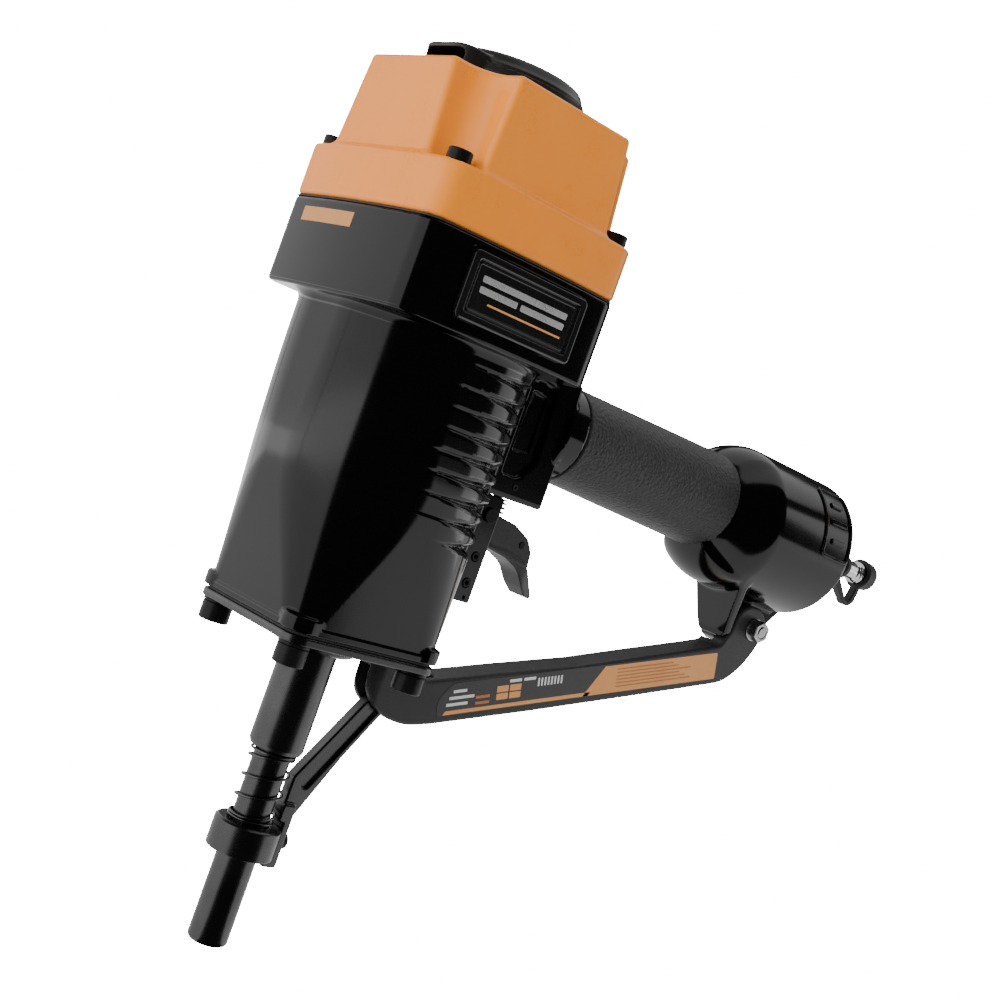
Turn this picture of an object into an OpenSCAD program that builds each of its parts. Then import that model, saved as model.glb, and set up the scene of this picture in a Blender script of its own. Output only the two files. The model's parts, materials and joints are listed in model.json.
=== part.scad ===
// Single-shot pneumatic nail gun for concrete pins. A black cast housing holds the cylinder and the
// hollow handle, an orange head closes it, and a spring-loaded muzzle tube arms the trigger.
// Origin: centre of the muzzle's mouth. +Z is the drive axis, +X points to the handle.

/* [Muzzle and contact] */
// Outside diameter of the muzzle tube
muzzle_d = 17.5; // [17:0.1:18]
// Bore that holds the pin in the muzzle
muzzle_bore_d = 8.4; // [8.2:0.1:9]
// Bare length of the muzzle tube below the collar
muzzle_len = 40; // [34:1:44]
// Outside diameter of the contact collar
collar_d = 29; // [27:0.5:30]
// Height of the contact collar
collar_h = 13.4; // [12:0.2:15]
// Length of the contact spring at rest
spring_len = 32.1; // [30:0.1:34]
// Upward travel of the muzzle tube
contact_travel = 16; // [10:1:16]

/* [Nose] */
// Outside diameter of the nose barrel
nose_d = 23.6; // [22:0.2:25]
// Length of the nose barrel below the nose plate
nose_len = 50.5; // [50:0.5:52]
// Side of the square nose plate
plate_w = 76.8; // [75:0.2:79]
// Thickness of the nose plate
plate_t = 3.6; // [3:0.2:4]
// Half the spacing of the nose screws
base_screw_at = 30.5; // [30:0.1:31]

/* [Housing] */
// Height of the housing from the nose plate to the head
housing_h = 170.4; // [170:0.1:172]
// Outside radius of the barrel
barrel_r = 50.2; // [49:0.1:51]
// Side of the square top flange at its corners
flange_w = 102.6; // [101:0.2:104]
// Height of the top flange
flange_h = 37; // [35:1:38]
// How far the flange's sides bulge out
flange_bulge = 3.4; // [2:0.2:4]

/* [Head] */
// Height of the head's lower band
band_h = 23.6; // [22:0.2:25]
// Height of the head above its band
crown_h = 40; // [39:0.5:42]
// Radius of the notches round the head's screws
notch_r = 21; // [20:0.5:22]
// Half the spacing of the head screws
cap_screw_at = 44; // [43.5:0.1:44.5]
// Radius of the exhaust deflector
deflector_r = 33.5; // [31:0.5:35]

/* [Handle] */
// Radius of the rubber grip at its front
grip_front_r = 22.4; // [22:0.1:24]
// Radius of the rubber grip at its back
grip_back_r = 24.2; // [23:0.1:25]
// Length of the rubber grip along its sides
grip_len = 107; // [104:1:108]
// Radius of the air chamber at the handle's end
bulb_r = 36.3; // [34:0.1:37]
// Slope of the handle below the horizontal
handle_slope = 1.9; // [0:0.1:3]

/* [Drive] */
// Bore of the cylinder
cylinder_d = 60; // [58:0.5:60]
// Stroke of the piston
piston_stroke = 110; // [90:1:110]
// Lift of the head valve
head_valve_lift = 6; // [3:0.5:6]

/* [Trigger and guard] */
// Tilt of the trigger's inner lever in degrees
lever_tilt = 8; // [4:1:8]
// Depth of the guard bar
guard_depth = 20.5; // [18:0.5:22]
// Width of the guard bar
guard_w = 16; // [15:0.5:17]
// Slope of the guard bar in degrees
guard_slope = 16.5; // [16:0.1:17]

/* [Hidden] */
$fn = 64;
eps = 0.01;
fit = 0.05;

// Heights along the drive axis
collar_z0 = muzzle_len;
collar_z1 = collar_z0 + collar_h;
nose_z0 = collar_z1 + spring_len;
plate_z0 = nose_z0 + nose_len;
plate_z1 = plate_z0 + plate_t;
gasket_t = 1.2;
housing_z0 = plate_z1 + gasket_t;
low_flange_t = 4;
seam_z = plate_z0 + housing_h;
top_flange_z0 = seam_z - flange_h;
cap_gasket_t = 0.8;
cap_z0 = seam_z + cap_gasket_t;
band_z1 = seam_z + band_h;
crown_z1 = band_z1 + crown_h;
deflector_h = 13.7;
ceiling_z = crown_z1 - 18;
notch_at = 50;

// Muzzle tube and nose
muzzle_r = muzzle_d / 2;
muzzle_bore_r = muzzle_bore_d / 2;
pin_seat_len = 50;
magnet_z = 20;
neck_r = 8;
neck_z1 = 118;
collar_r = collar_d / 2;
nose_r = nose_d / 2;
boss_r = 21;
boss_h = 5.5;

// Cylinder, piston and blade
bore_r = 35;
head_bore_r = 42;
sleeve_r = 33;
sleeve_z0 = housing_z0 + 1.2;
sleeve_z1 = seam_z - 6.4;
sleeve_seat_z = seam_z - 16.4;
sleeve_ring_z = [158, 236];
cylinder_r = cylinder_d / 2;
piston_z0 = seam_z - 28.4;
piston_h = 14;
blade_r = 4;
blade_z0 = contact_travel - 2 + piston_stroke;
guide_r = 4.4;

// Cooling grooves
groove_x = -4;
groove_z0 = 191;
groove_pitch = 8.7;
groove_count = 9;

// Rear flat, bracket and trigger
rear_x = 45;
block_x1 = 79;
block_y = 19;
block_z0 = 216;
bracket_x1 = 64.4;
bracket_y = 11;
cheek_t = 3.8;
bracket_z0 = 167;
bracket_screw_z = [182, 198];
bracket_pin_z = [175.8, 187.9];
pivot = [58.9, 206.9];
lever_pivot = [86, 198.7];
stem_x = 69;
stem_r = 2.2;
stem_z0 = 202.8;
valve_body_r = 8.4;
valve_ring_z = [229, 240];
roll_pin_at = [60, 222];
rod_x0 = 50;
rod_x1 = 63.5;
rod_z1 = 198.2 - contact_travel;
rivet_z = [137, 145];
lap_z0 = 132;
lap_z1 = 150;
arm_y = 3;

// Handle, in its own sloping frame: x runs along it from the front of the grip
handle_x = 88;
handle_z = 251.9;
core_r = 20;
bulb_drop = 2.3;
plug_drop = 1.5;
bulb_x0 = 100;
bulb_x1 = 189.5;
shoulder_r = 27;
end_r = 3;
scoop_flare = 1.5;
scoop_from = 37;
scoop_sweep = 115;
tank_r = 26;
tank_x0 = 122;
tank_x1 = 178;
inlet_r = 6.6;
boss_x = 206;
plug_x = 213;

// Guard bar
guard_x = 58;
guard_z = 128.8;
guard_front = [54, 133];
guard_front_r = 25.2;
guard_bolt_at = [257, 195];
guard_end_r = 11;
guard_slot_y = 3.6;

// ---------- helpers ----------

// A rod along X or along Y
module rod_x(r, x0, x1, z = 0) translate([x0, 0, z]) rotate([0, 90, 0]) cylinder(r = r, h = x1 - x0);
module rod_y(r, y0, y1, at) translate([at[0], y1, at[1]]) rotate([90, 0, 0]) cylinder(r = r, h = y1 - y0);

// A flat outline in X and Z, made solid from y0 to y1
module slab(y0, y1) translate([0, y1, 0]) rotate([90, 0, 0]) linear_extrude(y1 - y0) children();

// A tube on the drive axis
module tube(r_out, r_in, z0, z1) {
    difference() {
        translate([0, 0, z0]) cylinder(r = r_out, h = z1 - z0);
        translate([0, 0, z0 - 1]) cylinder(r = r_in, h = z1 - z0 + 2);
    }
}

// A ring of round section on the drive axis
module o_ring(r, wire, z) translate([0, 0, z]) rotate_extrude() translate([r, 0]) circle(r = wire, $fn = 24);

// Copies at the four corners of a square
module corners(s) for (x = [-s, s], y = [-s, s]) translate([x, y, 0]) children();

module rounded_square(w, r) {
    square([w, w - 2 * r], center = true);
    square([w - 2 * r, w], center = true);
    for (x = [-1, 1], y = [-1, 1]) translate([x, y] * (w / 2 - r)) circle(r = r);
}

// A square whose four sides are shallow arcs, with its corners rounded off
module bulged_square(w, bulge, inset = 0) {
    arc_r = (w * w / 4 + bulge * bulge) / (2 * bulge);
    reach = w / 2 + bulge - arc_r;
    intersection() {
        translate([reach, 0]) circle(r = arc_r - inset, $fn = 360);
        translate([-reach, 0]) circle(r = arc_r - inset, $fn = 360);
        translate([0, reach]) circle(r = arc_r - inset, $fn = 360);
        translate([0, -reach]) circle(r = arc_r - inset, $fn = 360);
        circle(r = w * 0.683 - inset, $fn = 120);
    }
}

// Socket-head screw: the head hangs below z = 0 and the shank rises above it
module socket_screw(head_r, head_h, shank_r, shank_l, key_r) {
    difference() {
        union() {
            translate([0, 0, -head_h]) cylinder(r = head_r, h = head_h);
            translate([0, 0, -eps]) cylinder(r = shank_r, h = shank_l);
        }
        translate([0, 0, -head_h - 1]) cylinder(r = key_r, h = 1 + head_h * 0.6, $fn = 6);
    }
}

// Coil spring from z0 to z1: one closed turn at each end and open turns between
function coil_z(t, turns) = t < 1 ? 0 : (t > turns - 1 ? 1 : (t - 1) / (turns - 2));
module coil(r, wire, z0, z1, turns) {
    steps = 16;
    sides = 6;
    rings = turns * steps;
    rise = z1 - z0 - 2 * wire - 4 * wire;
    function centre_z(t) = z0 + wire + 2 * wire * (min(t, 1) + max(t - turns + 1, 0))
        + rise * coil_z(t, turns);
    points = [for (i = [0:rings], k = [0:sides - 1])
        let (a = 360 * i / steps, b = 360 * k / sides, q = r + wire * cos(b))
        [q * cos(a), q * sin(a), centre_z(i / steps) + wire * sin(b)]];
    skin = [for (i = [0:rings - 1], k = [0:sides - 1])
        let (n = (k + 1) % sides)
        [i * sides + k, (i + 1) * sides + k, (i + 1) * sides + n, i * sides + n]];
    start = [[for (k = [0:sides - 1]) k]];
    end = [[for (k = [sides - 1:-1:0]) rings * sides + k]];
    polyhedron(points, concat(skin, start, end), convexity = 8);
}

// The handle's sloping frame
module in_handle() translate([handle_x, 0, handle_z]) rotate([0, handle_slope, 0]) children();

// The guard bar's sloping frame: x runs along its top edge
module in_guard() translate([guard_x, guard_z]) rotate(guard_slope) children();

// ---------- housing ----------

// Barrel: round at the top and drawn in to the square nose plate at the bottom
module barrel_body() {
    barrel_z1 = top_flange_z0 + 4;
    foot_w = plate_w - 1.2;
    rise = barrel_z1 - housing_z0;
    difference() {
        intersection() {
            translate([0, 0, housing_z0]) cylinder(r1 = barrel_r - 1.2, r2 = barrel_r, h = rise);
            translate([0, 0, housing_z0])
                linear_extrude(rise, scale = 2 * barrel_r / foot_w) square(foot_w, center = true);
        }
        translate([rear_x, -block_y - 10, housing_z0 - 1])
            cube([20, 2 * (block_y + 10), block_z0 - housing_z0 + 1]);
    }
}

// Cooling grooves: V-shaped rings off the barrel's axis, so each one fades out towards the front
module cooling_grooves() {
    groove_in = barrel_r - 0.7;
    intersection() {
        for (i = [0:groove_count - 1]) {
            translate([groove_x, 0, groove_z0 + i * groove_pitch])
                rotate_extrude() polygon([[groove_in, 0], [groove_in + 9, -5.5], [groove_in + 9, 5.5]]);
        }
        for (side = [-1, 1]) {
            translate([-20, side > 0 ? block_y + 4 : -block_y - 44, housing_z0]) cube([62, 40, 124]);
        }
    }
}

// Air chamber at the handle's end, with a conical end and a boss for the air plug
module bulb_profile(grow) {
    translate([bulb_r - shoulder_r, bulb_x0 + shoulder_r]) circle(r = shoulder_r + grow);
    translate([bulb_r - end_r, bulb_x1 - end_r]) circle(r = end_r + grow);
    translate([0, bulb_x0 - grow]) square([bulb_r - shoulder_r, bulb_x1 - bulb_x0 + grow]);
    translate([0, bulb_x0 + shoulder_r]) square([bulb_r + grow, bulb_x1 - end_r - bulb_x0 - shoulder_r]);
    translate([0, bulb_x1 - end_r]) square([bulb_r - end_r, end_r]);
}

// One of the scoops in the chamber's sides, which let the grip reach further back there
module scoop(grow) {
    lip = grip_len + 0.3;
    out = bulb_r + 6;
    rotate_extrude(angle = scoop_sweep) polygon([[core_r - 1, bulb_x0 - 10], [core_r - 1, lip - grow],
        [grip_back_r, lip - grow], [out, lip - grow + (out - grip_back_r) * scoop_flare],
        [out, bulb_x0 - 10]]);
}

module bulb(grow = 0) {
    difference() {
        translate([0, 0, -bulb_drop]) rotate([0, 90, 0]) rotate_extrude() intersection() {
            bulb_profile(grow);
            square([bulb_r + grow + 1, bulb_x1 + grow + 1]);
        }
        rotate([0, 90, 0]) rotate(scoop_from) scoop(grow);
        rotate([0, 90, 0]) rotate(-scoop_from - scoop_sweep) scoop(grow);
    }
}

// Lug under the air chamber: a web behind the guard bar's end, and a sloping wall in front of it
module guard_lug() {
    slab(0, 12) polygon([[222, 219], [229, 206], [241, 184.5], [246, 182.6], [256, 184], [268, 189.5],
        [289.7, 217]]);
    intersection() {
        slab(-26, 12) polygon([[218, 220], [235.4, 189], [236, 185], [238, 188.4], [240.6, 189],
            [223.6, 220]]);
        translate([200, 0, 0]) rotate([90, 0, 90]) linear_extrude(60)
            polygon([[-24.5, 221], [-7.4, 186], [-6.7, 184.6], [12, 184.6], [12, 221]]);
    }
}

module housing() {
    color("#1b1b1c") difference() {
        union() {
            difference() {
                barrel_body();
                cooling_grooves();
            }
            translate([0, 0, housing_z0]) linear_extrude(low_flange_t) rounded_square(plate_w, 8);
            translate([0, 0, top_flange_z0])
                linear_extrude(flange_h) bulged_square(flange_w, flange_bulge);
            translate([20, -block_y, block_z0])
                cube([block_x1 - 20, 2 * block_y, top_flange_z0 + 2 - block_z0]);
            in_handle() rod_x(grip_front_r, -12, 0);
            in_handle() rod_x(core_r, -1, grip_len + 4);
            in_handle() bulb();
            in_handle() translate([bulb_x1 - eps, 0, -plug_drop]) rotate([0, 90, 0])
                cylinder(r1 = bulb_r - end_r - 1, r2 = 14, h = boss_x - bulb_x1);
            in_handle() rod_x(14, boss_x - 1, plug_x, -plug_drop);
            guard_lug();
        }
        // cylinder bore, stepped for the sleeve's flange
        translate([0, 0, housing_z0 - 1]) cylinder(r = bore_r, h = seam_z - housing_z0);
        translate([0, 0, sleeve_seat_z]) cylinder(r = head_bore_r, h = 20);
        // air passage from the inlet to the cylinder
        in_handle() rod_x(13, -50, tank_x0 + 1);
        in_handle() rod_x(tank_r, tank_x0, tank_x1, -bulb_drop);
        in_handle() rod_x(inlet_r, tank_x1 - 1, plug_x + 1, -plug_drop);
        // trigger valve bore and its roll pin
        translate([stem_x, 0, block_z0 - 1]) cylinder(r = valve_body_r + fit, h = 32);
        rod_y(1.5 + fit, -30, 30, roll_pin_at);
        // screw holes
        translate([0, 0, housing_z0 - 1]) corners(base_screw_at) cylinder(r = 4 + fit, h = 26);
        translate([0, 0, seam_z - 26]) corners(cap_screw_at) cylinder(r = 3 + fit, h = 30);
        rod_y(3 + fit, -30, 30, guard_bolt_at);
        for (z = bracket_screw_z) rod_x(2 + fit, rear_x - 6, rear_x + 1, z);
        translate([37, -27, housing_z0 + 2]) rotate([0, 90, 0]) cylinder(r = 2 + fit, h = 4);
        // flat for the badge, and the pockets in the valve block's cheeks
        translate([-32, -60, 273.4]) cube([66, 60 - 53.3, 30.2]);
        for (side = [-1, 1]) translate([51, side * block_y - 2.5, 227]) cube([17, 5, 40]);
    }
}

module badge_frame() {
    color("#101011") difference() {
        translate([-30, -55.9, 275]) cube([62, 2.6, 27.4]);
        translate([-27, -57, 278]) cube([56, 2.4, 21.4]);
    }
}

module badge_plate() color("#d9d9d6") translate([-26.5, -55.5, 278.5]) cube([55, 0.9, 20.4]);

// ---------- head ----------

module crown() {
    foot = flange_w + 0.6;
    draft = 0.985;
    notch_draft = 4.4;
    difference() {
        translate([0, 0, band_z1 - 1]) linear_extrude(crown_h + 1, scale = draft) square(foot, center = true);
        translate([0, 0, band_z1 - 2]) corners(notch_at)
            cylinder(r1 = notch_r - notch_draft, r2 = notch_r, h = crown_h + 4);
    }
}

module cylinder_head() {
    color("#e0873f") difference() {
        union() {
            translate([0, 0, cap_z0]) linear_extrude(band_z1 - cap_z0) bulged_square(flange_w, flange_bulge);
            crown();
        }
        difference() {
            translate([0, 0, cap_z0 - 1]) cylinder(r = head_bore_r, h = ceiling_z - cap_z0 + 1);
            tube(25, 20 + fit, ceiling_z - 16, ceiling_z + 1);
        }
        // screw holes with sunk seats
        translate([0, 0, cap_z0 - 1]) corners(cap_screw_at) cylinder(r = 3 + fit, h = 40);
        translate([0, 0, band_z1 - 1.2]) corners(cap_screw_at) cylinder(r = 5.6, h = 9);
        // exhaust ports round the deflector's screw
        for (a = [0:60:300]) rotate(a) translate([11, 0, ceiling_z - 1]) cylinder(r = 3.5, h = 20);
        translate([0, 0, crown_z1 - 12]) cylinder(r = 2.5 + fit, h = 13);
    }
}

module cap_gasket() {
    color("#2a2a2c") translate([0, 0, seam_z]) linear_extrude(cap_gasket_t) difference() {
        bulged_square(flange_w, flange_bulge, 0.7);
        circle(r = head_bore_r + 0.5);
        for (x = [-1, 1], y = [-1, 1]) translate([x, y] * cap_screw_at) circle(r = 3.2);
    }
}

module cap_screws() {
    color("#151516") translate([0, 0, band_z1 - 1.2]) corners(cap_screw_at)
        mirror([0, 0, 1]) socket_screw(5, 6, 3, 40, 2.9);
}

// The deflector's spout, seen from above
module spout_outline() {
    translate([-32, -17]) square([26, 31]);
    translate([-40, -9]) square([9, 15]);
    for (y = [-9, 6]) translate([-32, y]) circle(r = 8);
}

module exhaust_deflector() {
    z0 = crown_z1 + 0.3;
    top = crown_z1 + deflector_h;
    color("#2b2b2d") difference() {
        union() {
            rotate_extrude() polygon([[0, z0], [deflector_r, z0], [deflector_r, z0 + 4],
                [deflector_r - 0.8, z0 + 7], [deflector_r - 2.8, top - 3.7], [deflector_r - 4.8, top],
                [0, top]]);
            translate([0, 0, z0]) linear_extrude(10.2) spout_outline();
        }
        translate([0, 0, z0 - 1]) cylinder(r = deflector_r - 4, h = 9);
        translate([-42, -14.5, z0 + 1.9]) cube([24, 26, 6]);
        translate([0, 0, z0 - 1]) cylinder(r = 2.7, h = 20);
        translate([0, 0, top - 2]) cylinder(r = 6, h = 3);
    }
}

module deflector_screw() {
    top = crown_z1 + deflector_h;
    color("#151516") translate([0, 0, top - 1.9]) difference() {
        union() {
            cylinder(r = 5, h = 2.4);
            translate([0, 0, -19]) cylinder(r = 2.5, h = 19);
        }
        translate([0, 0, 0.9]) cylinder(r = 1.8, h = 2, $fn = 6);
    }
}

// ---------- cylinder ----------

module cylinder_sleeve() {
    color("#b9bcc0") difference() {
        union() {
            translate([0, 0, sleeve_z0]) cylinder(r = sleeve_r, h = sleeve_z1 - sleeve_z0);
            translate([0, 0, sleeve_seat_z]) cylinder(r = head_bore_r - fit, h = 6);
        }
        translate([0, 0, sleeve_z0 - 1]) cylinder(r = cylinder_r, h = sleeve_z1 - sleeve_z0 + 2);
        for (a = [0:45:315]) rotate(a) translate([0, 0, 172]) rod_x(1.5, 20, 40);
    }
}

module sleeve_o_rings() {
    color("#1c1c1c") {
        for (z = sleeve_ring_z) o_ring(sleeve_r + 1, 0.95, z);
    }
}

module bumper() {
    bumper_h = piston_z0 - piston_stroke - plate_z1 - 0.4;
    color("#c8b98a") translate([0, 0, plate_z1 + 0.1]) rotate_extrude()
        polygon([[7, 0], [29.4, 0], [29.4, 12], [26, bumper_h], [9, bumper_h], [7, bumper_h - 3]]);
}

module piston() {
    color("#9a9ca0") difference() {
        translate([0, 0, piston_z0]) cylinder(r = cylinder_r - 0.4, h = piston_h);
        tube(cylinder_r + 1, cylinder_r - 3, piston_z0 + 5, piston_z0 + 8);
        translate([0, 0, piston_z0 - 1]) cylinder(r = blade_r + fit, h = 13);
        translate([0, 0, piston_z0 + piston_h - 3]) cylinder(r = 14, h = 4);
    }
}

module piston_ring() {
    color("#1c1c1c")
        tube(cylinder_r - fit, cylinder_r - 2.95, piston_z0 + 5.05, piston_z0 + 7.95);
}

module driver_blade() {
    color("#c7c9cc") translate([0, 0, blade_z0]) cylinder(r = blade_r, h = piston_z0 + 11.8 - blade_z0);
}

module head_valve() {
    color("#a5a7aa") difference() {
        union() {
            translate([0, 0, seam_z - 3.3]) cylinder(r = head_bore_r - 0.1, h = 9);
            translate([0, 0, seam_z]) cylinder(r = 20, h = ceiling_z - head_valve_lift - 2 - seam_z);
        }
        translate([0, 0, seam_z - 4]) cylinder(r = 14, h = 44);
        o_ring(head_bore_r - 0.9, 0.9, seam_z + 1);
    }
}

module head_valve_ring() color("#1c1c1c") o_ring(head_bore_r - 0.92, 0.85, seam_z + 1);

module head_valve_seal() color("#3a3a3a") tube(36, 27, sleeve_z1 + 0.02, seam_z - 3.32);

module head_valve_spring() color("#8e9094") coil(22.5, 0.7, seam_z + 5.7, ceiling_z - 16, 5);

// ---------- nose ----------

module base_gasket() {
    color("#2a2a2c") translate([0, 0, plate_z1]) linear_extrude(gasket_t) difference() {
        rounded_square(plate_w - 2.4, 7.5);
        circle(r = bore_r + 0.3);
        for (x = [-1, 1], y = [-1, 1]) translate([x, y] * base_screw_at) circle(r = 4.2);
    }
}

module nose_plate() {
    color("#202022") difference() {
        union() {
            translate([0, 0, plate_z0]) linear_extrude(plate_t) rounded_square(plate_w, 8);
            translate([0, 0, plate_z0 - boss_h]) cylinder(r = boss_r, h = boss_h + 1);
        }
        translate([0, 0, plate_z0 - 10]) cylinder(r = nose_r + fit, h = 20);
        translate([0, 0, plate_z0 - 1]) corners(base_screw_at) cylinder(r = 4.2, h = 8);
        translate([31, 0, plate_z0 - 1]) cylinder(r = 2 + fit, h = 8);
        translate([31, 0, plate_z1 - 1.6]) cylinder(r1 = 2 + fit, r2 = 3.7, h = 1.65);
    }
}

module nose_barrel() {
    color("#26272a") difference() {
        union() {
            translate([0, 0, nose_z0]) cylinder(r1 = nose_r - 1, r2 = nose_r, h = 1.6);
            translate([0, 0, nose_z0 + 1.6]) cylinder(r = nose_r, h = plate_z1 - nose_z0 - 1.6);
        }
        translate([0, 0, nose_z0 - 1]) cylinder(r = neck_r + fit, h = nose_len);
        translate([0, 0, plate_z0 - 2]) cylinder(r = guide_r, h = 10);
    }
}

module base_screws() {
    color("#151516") translate([0, 0, plate_z0 - 1.4]) corners(base_screw_at)
        socket_screw(6.5, 8, 4, 25, 3.5);
}

module base_lock_washers() {
    color("#2c2c2e") translate([0, 0, plate_z0 - 1.4]) corners(base_screw_at) tube(6.6, 4.1, 0.01, 1.39);
}

module flange_dowel() {
    color("#2c2c2e") translate([37.2, -27, housing_z0 + 2]) rotate([0, 90, 0]) cylinder(r = 2, h = 4.6);
}

// ---------- contact ----------

module muzzle_tube() {
    color("#2b2c2f") difference() {
        union() {
            cylinder(r1 = muzzle_r - 0.8, r2 = muzzle_r, h = 0.8);
            translate([0, 0, 0.8]) cylinder(r = muzzle_r, h = collar_z1 - 0.8);
            translate([0, 0, collar_z1 - eps]) cylinder(r = neck_r, h = neck_z1 - collar_z1);
        }
        translate([0, 0, -1]) cylinder(r = muzzle_bore_r, h = pin_seat_len + 1);
        translate([0, 0, pin_seat_len - eps]) cylinder(r = guide_r, h = neck_z1);
        translate([0, 0, magnet_z]) rotate([0, 0, 90]) rod_x(1.5 + fit, 5.4, 12);
    }
}

module pin_magnet() color("#b0b2b5") translate([0, 0, magnet_z]) rotate([0, 0, 90]) rod_x(1.5, 5.5, 8.5);

module contact_collar() {
    color("#2b2c2f") difference() {
        translate([0, 0, collar_z0]) cylinder(r = collar_r, h = collar_h);
        translate([0, 0, collar_z0 - 1]) cylinder(r = muzzle_r + fit, h = collar_h + 2);
        translate([0, 0, collar_z0 + 7]) rod_x(2 + fit, 9, 20);
        translate([collar_r - 0.6, -8, collar_z0 - 1]) cube([3, 16, collar_h + 2]);
    }
}

module collar_screw() {
    color("#151516") translate([0, 0, collar_z0 + 7]) difference() {
        union() {
            rod_x(2, muzzle_r + 0.4, 18);
            rod_x(3.6, 17.8, 20.6);
        }
        translate([19.2, 0, 0]) rotate([0, 90, 0]) cylinder(r = 1.7, h = 2, $fn = 6);
    }
}

// Contact arm: a foot on the collar and an I-section strut up to the safety rod
module contact_arm() {
    foot_x0 = collar_r - 0.6;
    foot_x1 = 17.8;
    strut_x0 = nose_r + 0.6;
    color("#232427") difference() {
        union() {
            slab(-5, 5) polygon([[foot_x0, 39.9], [foot_x0, 54], [strut_x0, 56], [strut_x0, 62],
                [foot_x1, 62], [foot_x1, 37.4], [9.6, 37.4], [9.6, 39.9]]);
            slab(-arm_y, arm_y) polygon([[strut_x0, 58], [strut_x0, 75.8], [37.5, 116.3], [46, 130],
                [rod_x0, lap_z0], [rod_x0 + 12, lap_z0], [56, 127], [46.5, 110.5], [33.2, 87.5],
                [foot_x1, 58]]);
            slab(-arm_y, 0) polygon([[rod_x0, lap_z0 - 2], [rod_x0, lap_z1], [rod_x0 + 12, lap_z1],
                [rod_x0 + 12, lap_z0 - 2]]);
        }
        translate([0, 0, collar_z0 + 7]) rod_x(2 + fit, 9, 30);
        for (side = [-1, 1]) {
            slab(side * arm_y - 1.4, side * arm_y + 1.4)
                polygon([[17, 74], [19, 73.4], [45, 117], [47, 124], [44, 122], [17.6, 79.6]]);
        }
        for (z = rivet_z) rod_y(1.5 + fit, -4, 4, [rod_x0 + 6, z]);
    }
}

module safety_rod() {
    color("#5b5d61") difference() {
        union() {
            slab(0, arm_y) polygon([[rod_x0 + 0.5, lap_z0 + 0.5], [rod_x0 + 0.5, lap_z1 + 2],
                [rod_x0 + 11.5, lap_z1 + 2], [rod_x0 + 11.5, lap_z0 + 0.5]]);
            slab(-arm_y, arm_y) polygon([[rod_x0 + 0.5, lap_z1 + 0.1], [rod_x0 + 0.5, rod_z1 - 6],
                [rod_x0 + 5, rod_z1], [rod_x1, rod_z1], [rod_x1, rod_z1 - 5],
                [rod_x0 + 11.5, rod_z1 - 9], [rod_x0 + 11.5, lap_z1 + 0.1]]);
        }
        for (z = rivet_z) rod_y(1.5 + fit, -4, 4, [rod_x0 + 6, z]);
    }
}

module rod_rivets() {
    color("#8e9094") for (z = rivet_z) {
        rod_y(1.5, -3.6, 3.6, [rod_x0 + 6, z]);
        rod_y(2.6, -4.2, -3.02, [rod_x0 + 6, z]);
        rod_y(2.6, 3.02, 4.2, [rod_x0 + 6, z]);
    }
}

module contact_spring() color("#6c6e72") coil(9.4, 0.6, collar_z1, nose_z0, 5);

// ---------- handle ----------

module grip_sleeve() {
    color("#2d2d2e") in_handle() difference() {
        translate([0.3, 0, 0]) rotate([0, 90, 0])
            cylinder(r1 = grip_front_r, r2 = grip_back_r, h = grip_len);
        rod_x(core_r + fit, -1, grip_len + 2);
        bulb(0.3);
    }
}

module inlet_screen() {
    color("#b0a070") in_handle() translate([0, 0, -plug_drop]) difference() {
        rod_x(inlet_r - 0.1, 184, 196);
        rod_x(inlet_r - 0.9, 185, 197);
    }
}

module air_plug() {
    tip_x = 241;
    tip_end = 251.5;
    color("#d6d8da") in_handle() translate([0, 0, -plug_drop]) difference() {
        union() {
            rod_x(inlet_r - 0.1, 197, plug_x + 0.5);
            translate([plug_x + 0.1, 0, 0]) rotate([0, 90, 0]) cylinder(r = 8.1, h = 8, $fn = 6);
            rod_x(5, plug_x + 8, tip_x + 1);
            rod_x(6.1, tip_x, tip_end);
        }
        rod_x(3.2, 190, tip_end + 1);
    }
}

// Rubber dust cap over the plug's tip, with its bent strap
module dust_cap() {
    cap_x = 247;
    color("#19191a") in_handle() translate([0, 0, -plug_drop]) {
        difference() {
            rod_x(8.4, cap_x, 256);
            rod_x(6.15, cap_x - 1, 253);
        }
        slab(-2.5, 2.5) polygon([[248, -8], [252, -8], [250.4, -16], [247, -19], [242.6, -19.6],
            [228.2, -9], [228.2, -6], [231, -6], [243, -16.8], [246, -16.4]]);
        difference() {
            rod_x(7, 228, 231.4);
            rod_x(5.05, 227, 233);
        }
    }
}

// ---------- guard bar ----------

module guard_outline() {
    intersection() {
        translate(guard_front) circle(r = guard_front_r, $fn = 96);
        polygon([[20, 100], [20, plate_z0], [41, plate_z0], [guard_x, guard_z], [70, 132], [70, 100]]);
    }
    in_guard() polygon([[-2, -guard_depth], [0, 0], [184, 0], [184, -guard_depth]]);
}

module guard_end_outline() {
    in_guard() polygon([[183, -guard_depth], [183, 0], [187, 1], [190, 5], [200, 5], [205, -12],
        [199, -guard_depth + 2], [193, -guard_depth]]);
    polygon([[241, 184], [246, 200], [255, 206], [267, 195], [263.5, 183], [257, 172], [246, 165],
        [238, 175]]);
    translate(guard_bolt_at) circle(r = guard_end_r);
}

module guard_bar() {
    half = guard_w / 2;
    color("#2b2b2d") difference() {
        union() {
            slab(-half, half) guard_outline();
            slab(-half, 0) guard_end_outline();
        }
        difference() {
            translate([10, -guard_slot_y, 90]) cube([56.5, 2 * guard_slot_y, 60]);
            translate([20, -half, 129.5]) cube([14, guard_w, 20]);
        }
        rod_y(3.1, -half - 1, 1, guard_bolt_at);
        translate([31, 0, 128]) cylinder(r = 2 + fit, h = 10);
    }
}

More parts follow.
